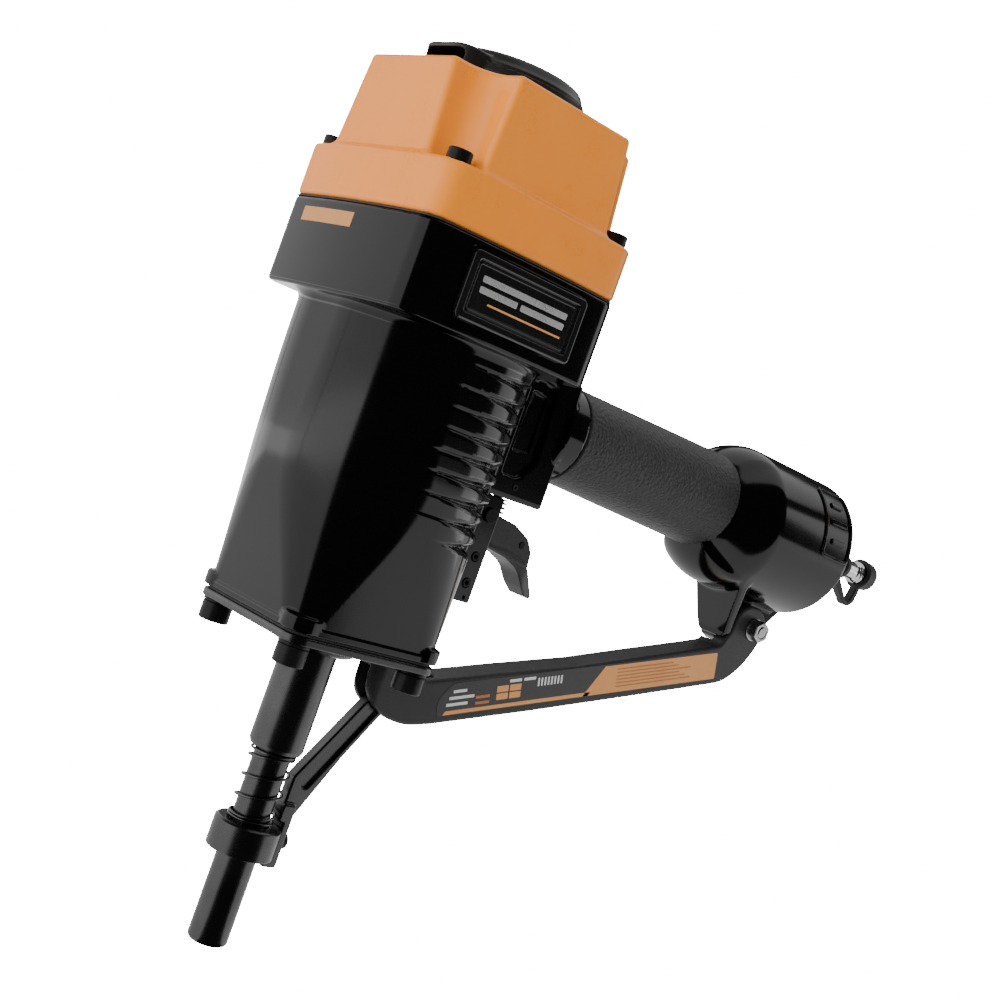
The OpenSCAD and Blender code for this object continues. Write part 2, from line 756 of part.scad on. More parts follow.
module guard_label() {
    half = guard_w / 2;
    color("#d98a45") slab(-half - 0.3, -half) in_guard() polygon([[9, -18], [9, -6], [14, -2.2],
        [187, -2.2], [187, -18]]);
}

module guard_front_screw() {
    color("#151516") {
        translate([31, 0, 130]) cylinder(r = 2, h = plate_z1 - 131.6);
        translate([31, 0, plate_z1 - 1.6]) cylinder(r1 = 2, r2 = 3.6, h = 1.6);
    }
}

module guard_bolt() {
    color("#8e9094") {
        rod_y(3, -guard_w / 2 - 6.4, 13.2, guard_bolt_at);
        translate([guard_bolt_at[0], 17.2, guard_bolt_at[1]]) rotate([90, 0, 0])
            cylinder(r = 5.77, h = 4, $fn = 6);
    }
}

module guard_washers() {
    half = guard_w / 2;
    color("#b5b7ba") for (y = [[-half - 1.2, -half], [12, 13.2]]) {
        difference() {
            rod_y(6, y[0], y[1], guard_bolt_at);
            rod_y(3.15, y[0] - 1, y[1] + 1, guard_bolt_at);
        }
    }
}

module guard_nut() {
    y1 = -guard_w / 2 - 1.2;
    color("#c9cbce") difference() {
        translate([guard_bolt_at[0], y1, guard_bolt_at[1]]) rotate([90, 0, 0])
            cylinder(r = 5.77, h = 5, $fn = 6);
        rod_y(3.05, y1 - 6, y1 + 1, guard_bolt_at);
    }
}

// ---------- trigger ----------

module trigger_bracket() {
    color("#1c1c1e") difference() {
        translate([rear_x, -bracket_y, bracket_z0])
            cube([bracket_x1 - rear_x, 2 * bracket_y, block_z0 - 0.3 - bracket_z0]);
        translate([rear_x + 3.4, -bracket_y + cheek_t, bracket_z0 - 1])
            cube([30, 2 * (bracket_y - cheek_t), 60]);
        rod_y(2 + fit, -20, 20, pivot);
        for (z = bracket_pin_z) rod_y(2.1, -20, 20, [pivot[0], z]);
        for (z = bracket_screw_z) rod_x(2 + fit, rear_x - 1, rear_x + 6, z);
    }
}

module bracket_pins() {
    color("#2c2c2e") for (z = bracket_pin_z, side = [-1, 1]) {
        y0 = side > 0 ? bracket_y - cheek_t + 0.1 : -bracket_y - 0.4;
        difference() {
            rod_y(2.05, y0, y0 + cheek_t + 0.3, [pivot[0], z]);
            rod_y(1, y0 - 1, y0 + cheek_t + 2, [pivot[0], z]);
        }
    }
}

module bracket_screws() {
    color("#2c2c2e") for (z = bracket_screw_z) {
        rod_x(2, rear_x - 5.5, rear_x + 3.3, z);
        rod_x(3.4, rear_x + 3.4, rear_x + 4.6, z);
    }
}

module trigger_pivot_pin() {
    color("#5f6165") {
        rod_y(2, -bracket_y - 0.5, bracket_y + 0.3, pivot);
        rod_y(3.4, -bracket_y - 1.5, -bracket_y - 0.02, pivot);
    }
}

module trigger_side() {
    translate(pivot) circle(r = 4.4);
    polygon([[56, 203.6], [60, 211], [64.5, 208], [79, 206.4], [84, 204.6], [88.9, 201.4], [92.2, 197.2],
        [93.7, 190.3], [90, 189], [79, 193.6], [66, 195.6], [60, 203]]);
}

module trigger() {
    plate_y = 7;
    color("#3a3b3e") difference() {
        union() {
            slab(-plate_y, -plate_y + 1.8) trigger_side();
            slab(plate_y - 1.8, plate_y) trigger_side();
            // finger piece
            slab(-plate_y, plate_y) polygon([[67, 193.4], [68.4, 192.2], [79.3, 191.4], [85.5, 189.3],
                [89.8, 186.2], [92.6, 182.4], [95.5, 179.2], [99, 177.4], [102, 177.3], [104.2, 179.4],
                [103.6, 182.6], [99.4, 187], [93.7, 190.4], [86, 192.2], [78, 193.9], [67.5, 194.3]]);
            // seat of the return spring
            slab(-plate_y, plate_y) polygon([[65, 206.4], [65, 205], [74, 205], [74, 206.4]]);
        }
        rod_y(2.06, -10, 10, pivot);
        rod_y(1.6, -10, 10, lever_pivot);
        translate([stem_x, 0, 203]) cylinder(r = 3.6, h = 6);
    }
}

module lever_pin() color("#5f6165") rod_y(1.55, -7.4, 7.4, lever_pivot);

// Inner lever, drawn raised and turned down to its rest
module trigger_lever() {
    color("#5b5d61") translate([lever_pivot[0], 0, lever_pivot[1]]) rotate([0, -lever_tilt, 0]) difference() {
        union() {
            slab(-4.6, 4.6) polygon([[-23.4, -0.2], [-23.4, 2.6], [-22, 3.8], [0, 3.8], [2, 0], [0, -2.6],
                [-6, -0.2]]);
            rod_y(3.9, -4.6, 4.6, [0, 0]);
        }
        rod_y(1.62, -10, 10, [0, 0]);
    }
}

module trigger_spring() color("#8e9094") translate([stem_x, 0, 0]) coil(4.6, 0.35, 206.4, block_z0, 5);

// ---------- trigger valve ----------

module valve_body() {
    color("#c2a15a") difference() {
        translate([stem_x, 0, block_z0]) cylinder(r = valve_body_r, h = 28);
        translate([stem_x, 0, block_z0 - 1]) cylinder(r = stem_r + fit, h = 10);
        translate([stem_x, 0, block_z0 + 4]) cylinder(r = 6, h = 20);
        translate([stem_x, 0, block_z0 + 20]) cylinder(r = 3, h = 10);
        for (z = valve_ring_z) translate([stem_x, 0, 0]) o_ring(valve_body_r - 0.7, 0.8, z);
        rod_y(1.6, -30, 30, roll_pin_at);
    }
}

module valve_body_o_rings() {
    color("#1c1c1c") for (z = valve_ring_z) translate([stem_x, 0, 0]) o_ring(valve_body_r - 0.72, 0.7, z);
}

module valve_roll_pin() {
    color("#2c2c2e") difference() {
        rod_y(1.5, -block_y - 0.4, block_y + 0.4, roll_pin_at);
        rod_y(0.7, -30, 30, roll_pin_at);
    }
}

module valve_spring() color("#8e9094") translate([stem_x, 0, 0]) coil(3.8, 0.35, 226, 240, 5);

module valve_stem() {
    color("#c7c9cc") difference() {
        translate([stem_x, 0, 0]) {
            translate([0, 0, stem_z0]) cylinder(r = stem_r, h = 20);
            translate([0, 0, 222]) cylinder(r = 5.4, h = 4);
        }
        translate([stem_x, 0, 0]) o_ring(5.25, 0.68, 224);
    }
}

module stem_o_ring() color("#1c1c1c") translate([stem_x, 0, 0]) o_ring(5.25, 0.65, 224);

housing();
cylinder_head();
cap_gasket();
cap_screws();
badge_frame();
badge_plate();
cylinder_sleeve();
sleeve_o_rings();
bumper();
base_gasket();
nose_plate();
nose_barrel();
base_screws();
base_lock_washers();
flange_dowel();
grip_sleeve();
inlet_screen();
air_plug();
dust_cap();
guard_bar();
guard_label();
guard_front_screw();
guard_bolt();
guard_washers();
guard_nut();
trigger_bracket();
bracket_pins();
bracket_screws();
trigger_pivot_pin();
valve_body();
valve_body_o_rings();
valve_roll_pin();
valve_spring();
trigger_spring();
head_valve_spring();
contact_spring();
muzzle_tube();
contact_collar();
collar_screw();
pin_magnet();
contact_arm();
safety_rod();
rod_rivets();
trigger();
lever_pin();
trigger_lever();
valve_stem();
stem_o_ring();
piston();
piston_ring();
driver_blade();
head_valve();
head_valve_ring();
head_valve_seal();
exhaust_deflector();
deflector_screw();
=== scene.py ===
"""Looks of the pneumatic nail gun. Castings and visible machined parts are built from smooth distance
fields in millimetres, meshed with OpenVDB, and put into the frame in metres. +Z is the drive axis."""

import json
import math

import bpy
import numpy as np
import openvdb
from mathutils import Matrix, Vector


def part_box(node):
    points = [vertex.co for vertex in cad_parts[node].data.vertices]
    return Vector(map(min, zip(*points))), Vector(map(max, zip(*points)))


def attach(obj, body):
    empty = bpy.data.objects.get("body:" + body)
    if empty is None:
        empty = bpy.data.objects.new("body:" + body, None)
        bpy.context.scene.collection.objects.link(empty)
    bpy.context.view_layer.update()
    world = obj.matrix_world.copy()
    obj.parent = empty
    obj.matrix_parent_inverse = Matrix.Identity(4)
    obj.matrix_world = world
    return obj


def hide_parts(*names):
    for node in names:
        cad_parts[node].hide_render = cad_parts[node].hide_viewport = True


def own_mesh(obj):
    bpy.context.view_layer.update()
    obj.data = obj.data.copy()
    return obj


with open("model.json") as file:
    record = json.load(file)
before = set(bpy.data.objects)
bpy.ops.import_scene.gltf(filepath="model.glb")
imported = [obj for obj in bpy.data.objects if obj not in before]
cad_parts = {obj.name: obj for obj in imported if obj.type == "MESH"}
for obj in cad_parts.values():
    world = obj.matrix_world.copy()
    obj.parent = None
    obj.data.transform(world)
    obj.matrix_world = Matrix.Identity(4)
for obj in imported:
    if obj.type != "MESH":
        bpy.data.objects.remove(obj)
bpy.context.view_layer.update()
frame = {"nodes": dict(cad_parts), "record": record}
MM = 0.001
NODE_BODY = {n: b for b, names in frame["record"]["behaviour"]["bodies"].items() for n in names}
NODE_SLOT = {s["node"]: s["material_slot"] for s in frame["record"]["subparts"]}


def box_mm(node):
    low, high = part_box(node)
    return np.array(low) / MM, np.array(high) / MM


# ---------- distance fields ----------

def vlen(*parts):
    return np.sqrt(sum(p * p for p in parts))


def join(a, b, r):
    """Union of two fields with a round fillet of radius r."""
    return np.maximum(r, np.minimum(a, b)) - vlen(np.maximum(r - a, 0), np.maximum(r - b, 0))


def meet(a, b, r):
    """Intersection of two fields with a rounded edge of radius r."""
    return np.minimum(-r, np.maximum(a, b)) + vlen(np.maximum(r + a, 0), np.maximum(r + b, 0))


def cut(a, b, r):
    return meet(a, -b, r)


def between(v, low, high):
    return np.maximum(low - v, v - high)


def rect(x, y, half_x, half_y, r):
    qx, qy = np.abs(x) - half_x + r, np.abs(y) - half_y + r
    return vlen(np.maximum(qx, 0), np.maximum(qy, 0)) + np.minimum(np.maximum(qx, qy), 0) - r


def block(x, y, z, half_x, half_y, half_z, r):
    q = [np.abs(v) - h + r for v, h in ((x, half_x), (y, half_y), (z, half_z))]
    outside = vlen(*[np.maximum(v, 0) for v in q])
    return outside + np.minimum(np.maximum(np.maximum(q[0], q[1]), q[2]), 0) - r


def hexagon(x, y, flat):
    """Distance to a hexagon whose flats are that far from its centre."""
    d = np.abs(x)
    for a in (math.pi / 3, 2 * math.pi / 3):
        d = np.maximum(d, np.abs(x * math.cos(a) + y * math.sin(a)))
    return d - flat


def outline(x, y, points):
    """Distance to a closed outline, negative inside."""
    best = np.full(np.shape(x), 1e9)
    inside = np.zeros(np.shape(x), bool)
    for (ax, ay), (bx, by) in zip(points, points[1:] + points[:1]):
        ex, ey = bx - ax, by - ay
        wx, wy = x - ax, y - ay
        t = np.clip((wx * ex + wy * ey) / (ex * ex + ey * ey), 0, 1)
        best = np.minimum(best, (wx - ex * t) ** 2 + (wy - ey * t) ** 2)
        if ey:
            inside ^= ((ay > y) != (by > y)) & (x < ex * (y - ay) / ey + ax)
    return np.where(inside, -1, 1) * np.sqrt(best)


def softened(corners, steps=8):
    """Corners (x, y, r) as an outline whose corners are curves about as tight as r."""
    points = []
    for i, (x, y, r) in enumerate(corners):
        p = Vector((x, y))
        a = Vector(corners[i - 1][:2]) - p
        b = Vector(corners[(i + 1) % len(corners)][:2]) - p
        half = a.angle(b) / 2
        back = min(r / math.tan(half), 0.48 * a.length, 0.48 * b.length)
        start, end = p + a.normalized() * back, p + b.normalized() * back
        for k in range(steps + 1 if r > 0 else 1):
            t = k / steps
            q = start * (1 - t) ** 2 + p * 2 * t * (1 - t) + end * t * t
            points.append((q.x, q.y))
    return points


def smoothstep(v, low, high):
    t = np.clip((v - low) / (high - low), 0, 1)
    return t * t * (3 - 2 * t)


# ---------- meshes ----------

def gradient(field, p, h=0.02):
    g = np.empty_like(p)
    for k in range(3):
        d = np.zeros(3)
        d[k] = h
        g[:, k] = (field(*(p + d).T) - field(*(p - d).T)) / (2 * h)
    return g


def new_object(name, vertices_mm, faces, normals=None):
    mesh = bpy.data.meshes.new(name)
    mesh.from_pydata((np.asarray(vertices_mm) * MM).tolist(), [], faces)
    mesh.shade_smooth()
    if normals is not None:
        mesh.normals_split_custom_set_from_vertices(normals.tolist())
    obj = bpy.data.objects.new(name, mesh)
    bpy.context.scene.collection.objects.link(obj)
    return obj


def solid(name, field, low, high, step):
    """Mesh of a distance field inside a box, its vertices and normals taken back to the field itself."""
    low = np.array(low, float) - 2.5 * step
    count = np.ceil((np.array(high, float) + 2.5 * step - low) / step).astype(int) + 1
    axes = [low[k] + step * np.arange(count[k]) for k in range(3)]
    values = np.empty(count, np.float32)
    slab = max(1, int(400000 / (count[1] * count[2])))
    for i in range(0, count[0], slab):
        values[i:i + slab] = field(*np.meshgrid(axes[0][i:i + slab], axes[1], axes[2], indexing="ij"))
    grid = openvdb.FloatGrid(100.0)
    grid.copyFromArray(values)
    points, triangles, quads = grid.convertToPolygons(isovalue=0.0, adaptivity=0.0)
    p = points.astype(float) * step + low
    for _ in range(5):
        g = gradient(field, p)
        move = g * (field(*p.T) / np.maximum((g * g).sum(1), 0.05))[:, None]
        far = np.maximum(np.sqrt((move * move).sum(1)) / (0.5 * step), 1)
        p -= move / far[:, None]
    g = gradient(field, p)
    normals = g / np.maximum(np.sqrt((g * g).sum(1)), 1e-6)[:, None]
    faces = [list(map(int, q)) for q in quads] + [list(map(int, t)) for t in triangles]
    a, b, c = (p[quads[:, k]] for k in range(3))
    facing = (np.cross(b - a, c - a) * normals[quads[:, 0]]).sum()
    if facing < 0:
        faces = [f[::-1] for f in faces]
    return new_object(name, p, faces, normals)


def coil(name, centre, r, wire, z0, z1, turns, closed=1.0, start=0.0, steps=48, sides=14):
    """Round-wire helix along Z with closed turns at both ends."""
    rings = int(turns * steps)
    t = np.arange(rings + 1) / steps
    lead = 2 * wire
    rise = z1 - z0 - 2 * wire - 2 * lead * closed
    open_t = np.clip((t - closed) / (turns - 2 * closed), 0, 1)
    z = z0 + wire + lead * (np.minimum(t, closed) + np.maximum(t - turns + closed, 0)) + rise * open_t
    a = 2 * math.pi * t + start
    points, faces = [], []
    for k in range(sides):
        b = 2 * math.pi * k / sides
        q = r + wire * math.cos(b)
        points.append(np.stack([centre[0] + q * np.cos(a), centre[1] + q * np.sin(a),
                                z + wire * math.sin(b)], 1))
    points = np.stack(points, 1).reshape(-1, 3)
    for i in range(rings):
        for k in range(sides):
            n = (k + 1) % sides
            faces.append([i * sides + k, (i + 1) * sides + k, (i + 1) * sides + n, i * sides + n])
    faces.append(list(range(sides))[::-1])
    faces.append([rings * sides + k for k in range(sides)])
    return new_object(name, points, [f[::-1] for f in faces])


def plate(name, points, y0, y1, bevel=0.1):
    """A flat outline in X and Z made solid between two heights along Y, with a small bevel."""
    n = len(points)
    vertices = [(x, y0, z) for x, z in points] + [(x, y1, z) for x, z in points]
    faces = [list(range(n)), [n + k for k in range(n)][::-1]]
    faces += [[k, n + k, n + (k + 1) % n, (k + 1) % n] for k in range(n)]
    obj = new_object(name, vertices, faces)
    obj.data.shade_flat()
    mod = obj.modifiers.new("edge", "BEVEL")
    mod.width = bevel * MM
    mod.segments = 2
    mod.limit_method = "ANGLE"
    mod.angle_limit = math.radians(50)
    return obj


# ---------- materials ----------

def noise(nodes, links, coords, size_mm, detail, rough=0.5):
    n = nodes.new("ShaderNodeTexNoise")
    n.inputs["Scale"].default_value = 1 / (size_mm * MM)
    n.inputs["Detail"].default_value = detail
    n.inputs["Roughness"].default_value = rough
    links.new(coords, n.inputs["Vector"])
    return n.outputs["Fac"]


def finish(name, dark, light, rough, metal=0.0, patch_mm=18, grain_mm=0.6, bump=0.02, coat=0.0,
           coat_rough=0.05, spread=0.06, specular=0.5, cells=0.0):
    """Two close colours in soft patches, uneven roughness and a fine grain, all in the object's space."""
    mat = bpy.data.materials.new(name)
    mat.use_nodes = True
    nodes, links = mat.node_tree.nodes, mat.node_tree.links
    shader = nodes["Principled BSDF"]
    coords = nodes.new("ShaderNodeTexCoord").outputs["Object"]
    patch = noise(nodes, links, coords, patch_mm, 4)
    grain = noise(nodes, links, coords, grain_mm, 3, 0.6)
    mix = nodes.new("ShaderNodeMath")
    mix.operation = "MULTIPLY_ADD"
    links.new(grain, mix.inputs[0])
    mix.inputs[1].default_value = 0.5
    half = nodes.new("ShaderNodeMath")
    half.operation = "MULTIPLY"
    links.new(patch, half.inputs[0])
    half.inputs[1].default_value = 0.5
    links.new(half.outputs[0], mix.inputs[2])
    ramp = nodes.new("ShaderNodeValToRGB")
    ramp.color_ramp.elements[0].position = 0.36
    ramp.color_ramp.elements[1].position = 0.64
    ramp.color_ramp.elements[0].color = (*dark, 1)
    ramp.color_ramp.elements[1].color = (*light, 1)
    links.new(mix.outputs[0], ramp.inputs["Fac"])
    links.new(ramp.outputs["Color"], shader.inputs["Base Color"])
    spread_map = nodes.new("ShaderNodeMapRange")
    spread_map.inputs["From Min"].default_value = 0.3
    spread_map.inputs["From Max"].default_value = 0.7
    spread_map.inputs["To Min"].default_value = max(rough - spread, 0.02)
    spread_map.inputs["To Max"].default_value = rough + spread
    links.new(mix.outputs[0], spread_map.inputs["Value"])
    links.new(spread_map.outputs["Result"], shader.inputs["Roughness"])
    height = grain
    if cells:
        cell = nodes.new("ShaderNodeTexVoronoi")
        cell.inputs["Scale"].default_value = 1 / (cells * MM)
        links.new(coords, cell.inputs["Vector"])
        both = nodes.new("ShaderNodeMath")
        both.operation = "ADD"
        links.new(grain, both.inputs[0])
        links.new(cell.outputs["Distance"], both.inputs[1])
        height = both.outputs[0]
    rise = nodes.new("ShaderNodeBump")
    rise.inputs["Strength"].default_value = 1.0
    rise.inputs["Distance"].default_value = bump * MM
    links.new(height, rise.inputs["Height"])
    links.new(rise.outputs["Normal"], shader.inputs["Normal"])
    shader.inputs["Metallic"].default_value = metal
    shader.inputs["Specular IOR Level"].default_value = specular
    shader.inputs["Coat Weight"].default_value = coat
    shader.inputs["Coat Roughness"].default_value = coat_rough
    return mat


def grey(a, b=None):
    b = a if b is None else b
    return (a, a, a), (b, b, b)


def make_materials():
    m = {}
    m["casting_black"] = finish("black_enamel", *grey(0.0003, 0.0008), 0.13, grain_mm=0.5, bump=0.004,
                                spread=0.03)
    m["head_orange"] = finish("orange_enamel", (0.84, 0.235, 0.006), (0.88, 0.255, 0.008), 0.30,
                              grain_mm=0.5, bump=0.004, coat=0.1, coat_rough=0.1)
    m["gasket"] = finish("gasket_paper", *grey(0.02, 0.035), 0.7, grain_mm=0.3, bump=0.02)
    m["black_oxide"] = finish("black_oxide", *grey(0.010, 0.018), 0.34, metal=0.6, grain_mm=0.35,
                              bump=0.006)
    m["badge_black"] = finish("badge_black", *grey(0.004, 0.007), 0.12, grain_mm=0.8, bump=0.002,
                              coat=1.0, coat_rough=0.03)
    m["badge_silver"] = finish("badge_silver", *grey(0.62, 0.74), 0.3, metal=0.7, grain_mm=0.4,
                               bump=0.003)
    m["sleeve_alu"] = finish("anodised_sleeve", *grey(0.52, 0.6), 0.32, metal=1.0, grain_mm=0.5)
    m["o_ring"] = finish("o_ring_rubber", *grey(0.012, 0.02), 0.55, grain_mm=0.4)
    m["bumper_urethane"] = finish("bumper_urethane", (0.42, 0.32, 0.16), (0.5, 0.38, 0.2), 0.42)
    m["phosphated_steel"] = finish("phosphated_steel", *grey(0.085, 0.125), 0.27, metal=1.0, grain_mm=0.3,
                                   bump=0.006, spread=0.06)
    m["grip_rubber"] = finish("grip_rubber", *grey(0.012, 0.022), 0.40, grain_mm=0.7, bump=0.34,
                              cells=1.5, spread=0.06)
    m["screen_brass"] = finish("screen_brass", (0.5, 0.36, 0.12), (0.6, 0.43, 0.16), 0.35, metal=1.0)
    m["plug_chrome"] = finish("plug_chrome", *grey(0.72, 0.8), 0.12, metal=1.0, grain_mm=0.6,
                              bump=0.002, spread=0.03)
    m["cap_rubber"] = finish("cap_rubber", *grey(0.008, 0.014), 0.5, grain_mm=0.4, bump=0.02)
    m["guard_grey"] = finish("guard_satin", *grey(0.016, 0.024), 0.44, grain_mm=0.35, bump=0.012)
    m["label_print"] = finish("label_film", *grey(0.022, 0.032), 0.3, grain_mm=0.4, bump=0.003)
    m["zinc_steel"] = finish("zinc_plate", *grey(0.5, 0.62), 0.24, metal=1.0, grain_mm=0.4)
    m["spring_steel"] = finish("spring_steel", *grey(0.10, 0.16), 0.26, metal=1.0, grain_mm=0.4)
    m["trigger_steel"] = finish("trigger_steel", *grey(0.035, 0.055), 0.36, metal=0.55, grain_mm=0.4,
                                bump=0.008)
    m["valve_brass"] = finish("valve_brass", (0.56, 0.38, 0.13), (0.64, 0.45, 0.17), 0.3, metal=1.0)
    m["ground_steel"] = finish("ground_steel", *grey(0.45, 0.55), 0.25, metal=1.0, grain_mm=0.3)
    m["piston_alu"] = finish("piston_alu", *grey(0.5, 0.6), 0.35, metal=1.0, grain_mm=0.5)
    m["deflector_black"] = finish("deflector_satin", *grey(0.010, 0.016), 0.34, grain_mm=0.35,
                                  bump=0.008)
    m["label_orange"] = finish("label_orange", (0.62, 0.26, 0.07), (0.68, 0.30, 0.09), 0.35, grain_mm=0.5,
                               bump=0.003)
    m["strip_orange"] = finish("strip_orange", (0.5, 0.2, 0.05), (0.56, 0.23, 0.06), 0.4, grain_mm=0.5,
                               bump=0.003)
    m["label_pale"] = finish("label_pale", *grey(0.55, 0.65), 0.4, grain_mm=0.5, bump=0.003)
    m["label_dim"] = finish("label_dim", (0.36, 0.12, 0.03), (0.42, 0.15, 0.04), 0.4, grain_mm=0.5,
                            bump=0.003)
    return m


def dress(obj, slot, material=None):
    """Gives a piece its material: the one made for the record's slot, or the one named instead."""
    obj.data.materials.clear()
    obj.data.materials.append(MATERIALS[material or slot])


def stands_for(obj, node):
    """A piece that replaces a CAD node: same body, and the material made for the node's slot."""
    dress(obj, NODE_SLOT[node])
    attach(obj, NODE_BODY[node])
    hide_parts(node)
    return obj


# ---------- housing ----------

PLATE_LOW, PLATE_HIGH = box_mm("nose_plate")
HOUSING_LOW, HOUSING_HIGH = box_mm("housing")
SEAM = box_mm("cap_gasket")[0][2]
HEAD_LOW, HEAD_HIGH = box_mm("cylinder_head")
FLANGE_HALF = -HOUSING_LOW[0]
FLANGE_LOW = SEAM - 37
BAND_TOP = SEAM + 23.6
DOME_H = 13.4
SPOUT_Y = -1.5
SCREW_AT = 30.5
CAP_SCREW_AT = 44
REAR_FLAT = 45
GROOVE_Z0 = 191
GROOVE_PITCH = 8.7
GROOVE_COUNT = 9
GROOVE_FLARE = 0.78
BORE_R = 35
HEAD_BORE_R = 42.1
FLANGE_BULGE = 3.4
HANDLE = (88.0, 251.9, math.radians(1.9))
CHAMBER_DROP = 2.3
CHAMBER_R = 36.3
CHAMBER_FRONT = 101
CHAMBER_END = 189.5
GRIP_END = 107.3
GRIP_END_R = 24.2
PLUG_DROP = 1.5


def handle_axes(x, z):
    """Distance along the handle from the grip's front, and height over its axis."""
    px, pz, a = x - HANDLE[0], z - HANDLE[1], HANDLE[2]
    return px * math.cos(a) - pz * math.sin(a), px * math.sin(a) + pz * math.cos(a)


def bulged(x, y, half, bulge, corner):
    """Square with shallow curved sides; half is where they meet at the corners."""
    arc = (half * half + bulge * bulge) / (2 * bulge)
    reach = half + bulge - arc
    d = None
    for sx, sy in ((1, 0), (-1, 0), (0, 1), (0, -1)):
        side = vlen(x - sx * reach, y - sy * reach) - arc
        d = side if d is None else meet(d, side, corner)
    return d


def barrel(x, y, z):
    """Round at the top; below, its corners move outwards until it is the nose plate's square."""
    fade = (1 - smoothstep(z, HOUSING_LOW[2] - 14, 214)) / (1 - smoothstep(0, -14, 214 - HOUSING_LOW[2]))
    diagonal = 49 + 1.3 * (z - HOUSING_LOW[2]) / 130
    half = diagonal - 0.4142 * 27 * fade
    fuller = np.where(x < 0, 3.6 * smoothstep(z, 140, 255), 0)
    corner = (diagonal + fuller - half) / 0.4142
    qx, qy = np.abs(x) - corner, np.abs(y) - corner
    return vlen(np.maximum(qx, 0), np.maximum(qy, 0)) + np.minimum(np.maximum(qx, qy), 0) - half + corner


def grooves(x, y, z):
    """V-shaped rings about an axis in front of the barrel's, so that each fades out forwards."""
    rho = vlen(x + 4, y)
    nearest = np.clip(np.round((z - GROOVE_Z0) / GROOVE_PITCH), 0, GROOVE_COUNT - 1)
    height = np.abs(z - GROOVE_Z0 - GROOVE_PITCH * nearest)
    surface = 48.7 + 0.2 * np.maximum(-x - 6, 0) + 1.1 * smoothstep(z, 215, 262)
    wedge = (height - GROOVE_FLARE * (rho - surface)) / math.hypot(1, GROOVE_FLARE)
    sides = 23 - np.abs(y)
    return meet(wedge, sides, 1.0)


def chamber(x, y, z):
    """Air chamber at the handle's end, with scooped sides where it meets the grip."""
    s, w = handle_axes(x, z)
    rho = vlen(y, w + CHAMBER_DROP)
    body = meet(meet(rho - CHAMBER_R, CHAMBER_FRONT - s, 28), s - CHAMBER_END, 3)
    cone = (s - GRIP_END - 1.5 * (vlen(y, w) - GRIP_END_R)) / 1.8
    upper, lower = math.radians(62), math.radians(53)
    above = w * math.cos(upper) - np.abs(y) * math.sin(upper)
    below = -w * math.cos(lower) - np.abs(y) * math.sin(lower)
    return cut(body, meet(meet(cone, above, 9), below, 2), 3)


def chamber_end(x, y, z):
    """Cone behind the chamber's rim, and the boss that takes the air plug."""
    s, w = handle_axes(x, z)
    rho = vlen(y, w + PLUG_DROP)
    cone = meet((rho - 32.3 + 1.11 * (s - CHAMBER_END)) * 0.67, between(s, 188.4, 206), 0.6)
    return join(cone, meet(rho - 14, between(s, 198, 213), 1.0), 1.5)


def chamber_mark(x, y, z):
    """Raised frame with three plain bars on the chamber's side."""
    s, w = handle_axes(x, z)
    rho = vlen(y, w + CHAMBER_DROP)
    u = s - 174.75
    v = CHAMBER_R * (np.arctan2(w + CHAMBER_DROP, -y) - math.radians(28))
    mark = np.abs(rect(u, v, 10.7, 18.5, 2.5)) - 0.9
    for at, half in ((-10.5, 5.6), (-0.5, 6.8), (9.5, 4.6)):
        mark = np.minimum(mark, rect(u, v - at, half, 1.5, 1.0))
    return meet(mark, between(rho, 35.8, 37.3), 0.4)


def lug(x, y, z):
    """Web behind the guard bar's end, and a thin sloping wall in front of it."""
    web = outline(x, z, softened([(222, 219, 0), (229, 206, 2), (241, 184.6, 3), (246, 182.7, 3),
                                  (256, 184, 8), (268, 189.6, 14), (276.2, 199, 30), (283.5, 207.7, 30),
                                  (289.6, 217, 0)]))
    web = meet(web, between(y, 0.4, 12), 1.4)
    wall = outline(x, z, softened([(218, 220, 0), (235.5, 189, 1.5), (236.2, 185.2, 1.5),
                                   (238, 188.2, 1), (240.4, 189, 1), (223.4, 220, 0)]))
    face = outline(y, z, softened([(-24.4, 221, 0), (-7.5, 186.6, 2), (-5.5, 184.7, 2), (11.6, 184.7, 8),
                                   (11.6, 221, 0)]))
    return np.minimum(web, meet(wall, face, 1.1))


def badge_pad(x, y, z):
    """Flat pad in the flange's bulged side that the badge sits on."""
    return meet(meet(between(x, -30.3, 32.3), between(z, 274.7, 302.7), 2), y + 53.2, 0.4)


def valve_block(x, y, z):
    low, high = 20, 79
    body = block(x - (low + high) / 2, y, z - 245, (high - low) / 2, 19, 29, 1.6)
    pocket = outline(x, z, softened([(50.5, 271, 3), (65.2, 268.8, 4), (67.4, 235.3, 5), (60.1, 225.6, 6),
                                     (50.5, 226.2, 2)]))
    body = cut(body, meet(pocket, 16.6 - np.abs(y), 0.8), 0.9)
    panel = outline(x, z, softened([(54.2, 264.5, 1.5), (62.6, 263, 1.5), (62.6, 238, 1.5),
                                    (53.6, 236.6, 1.5)]))
    return cut(body, meet(panel, 15.4 - np.abs(y), 0.4), 0.5)


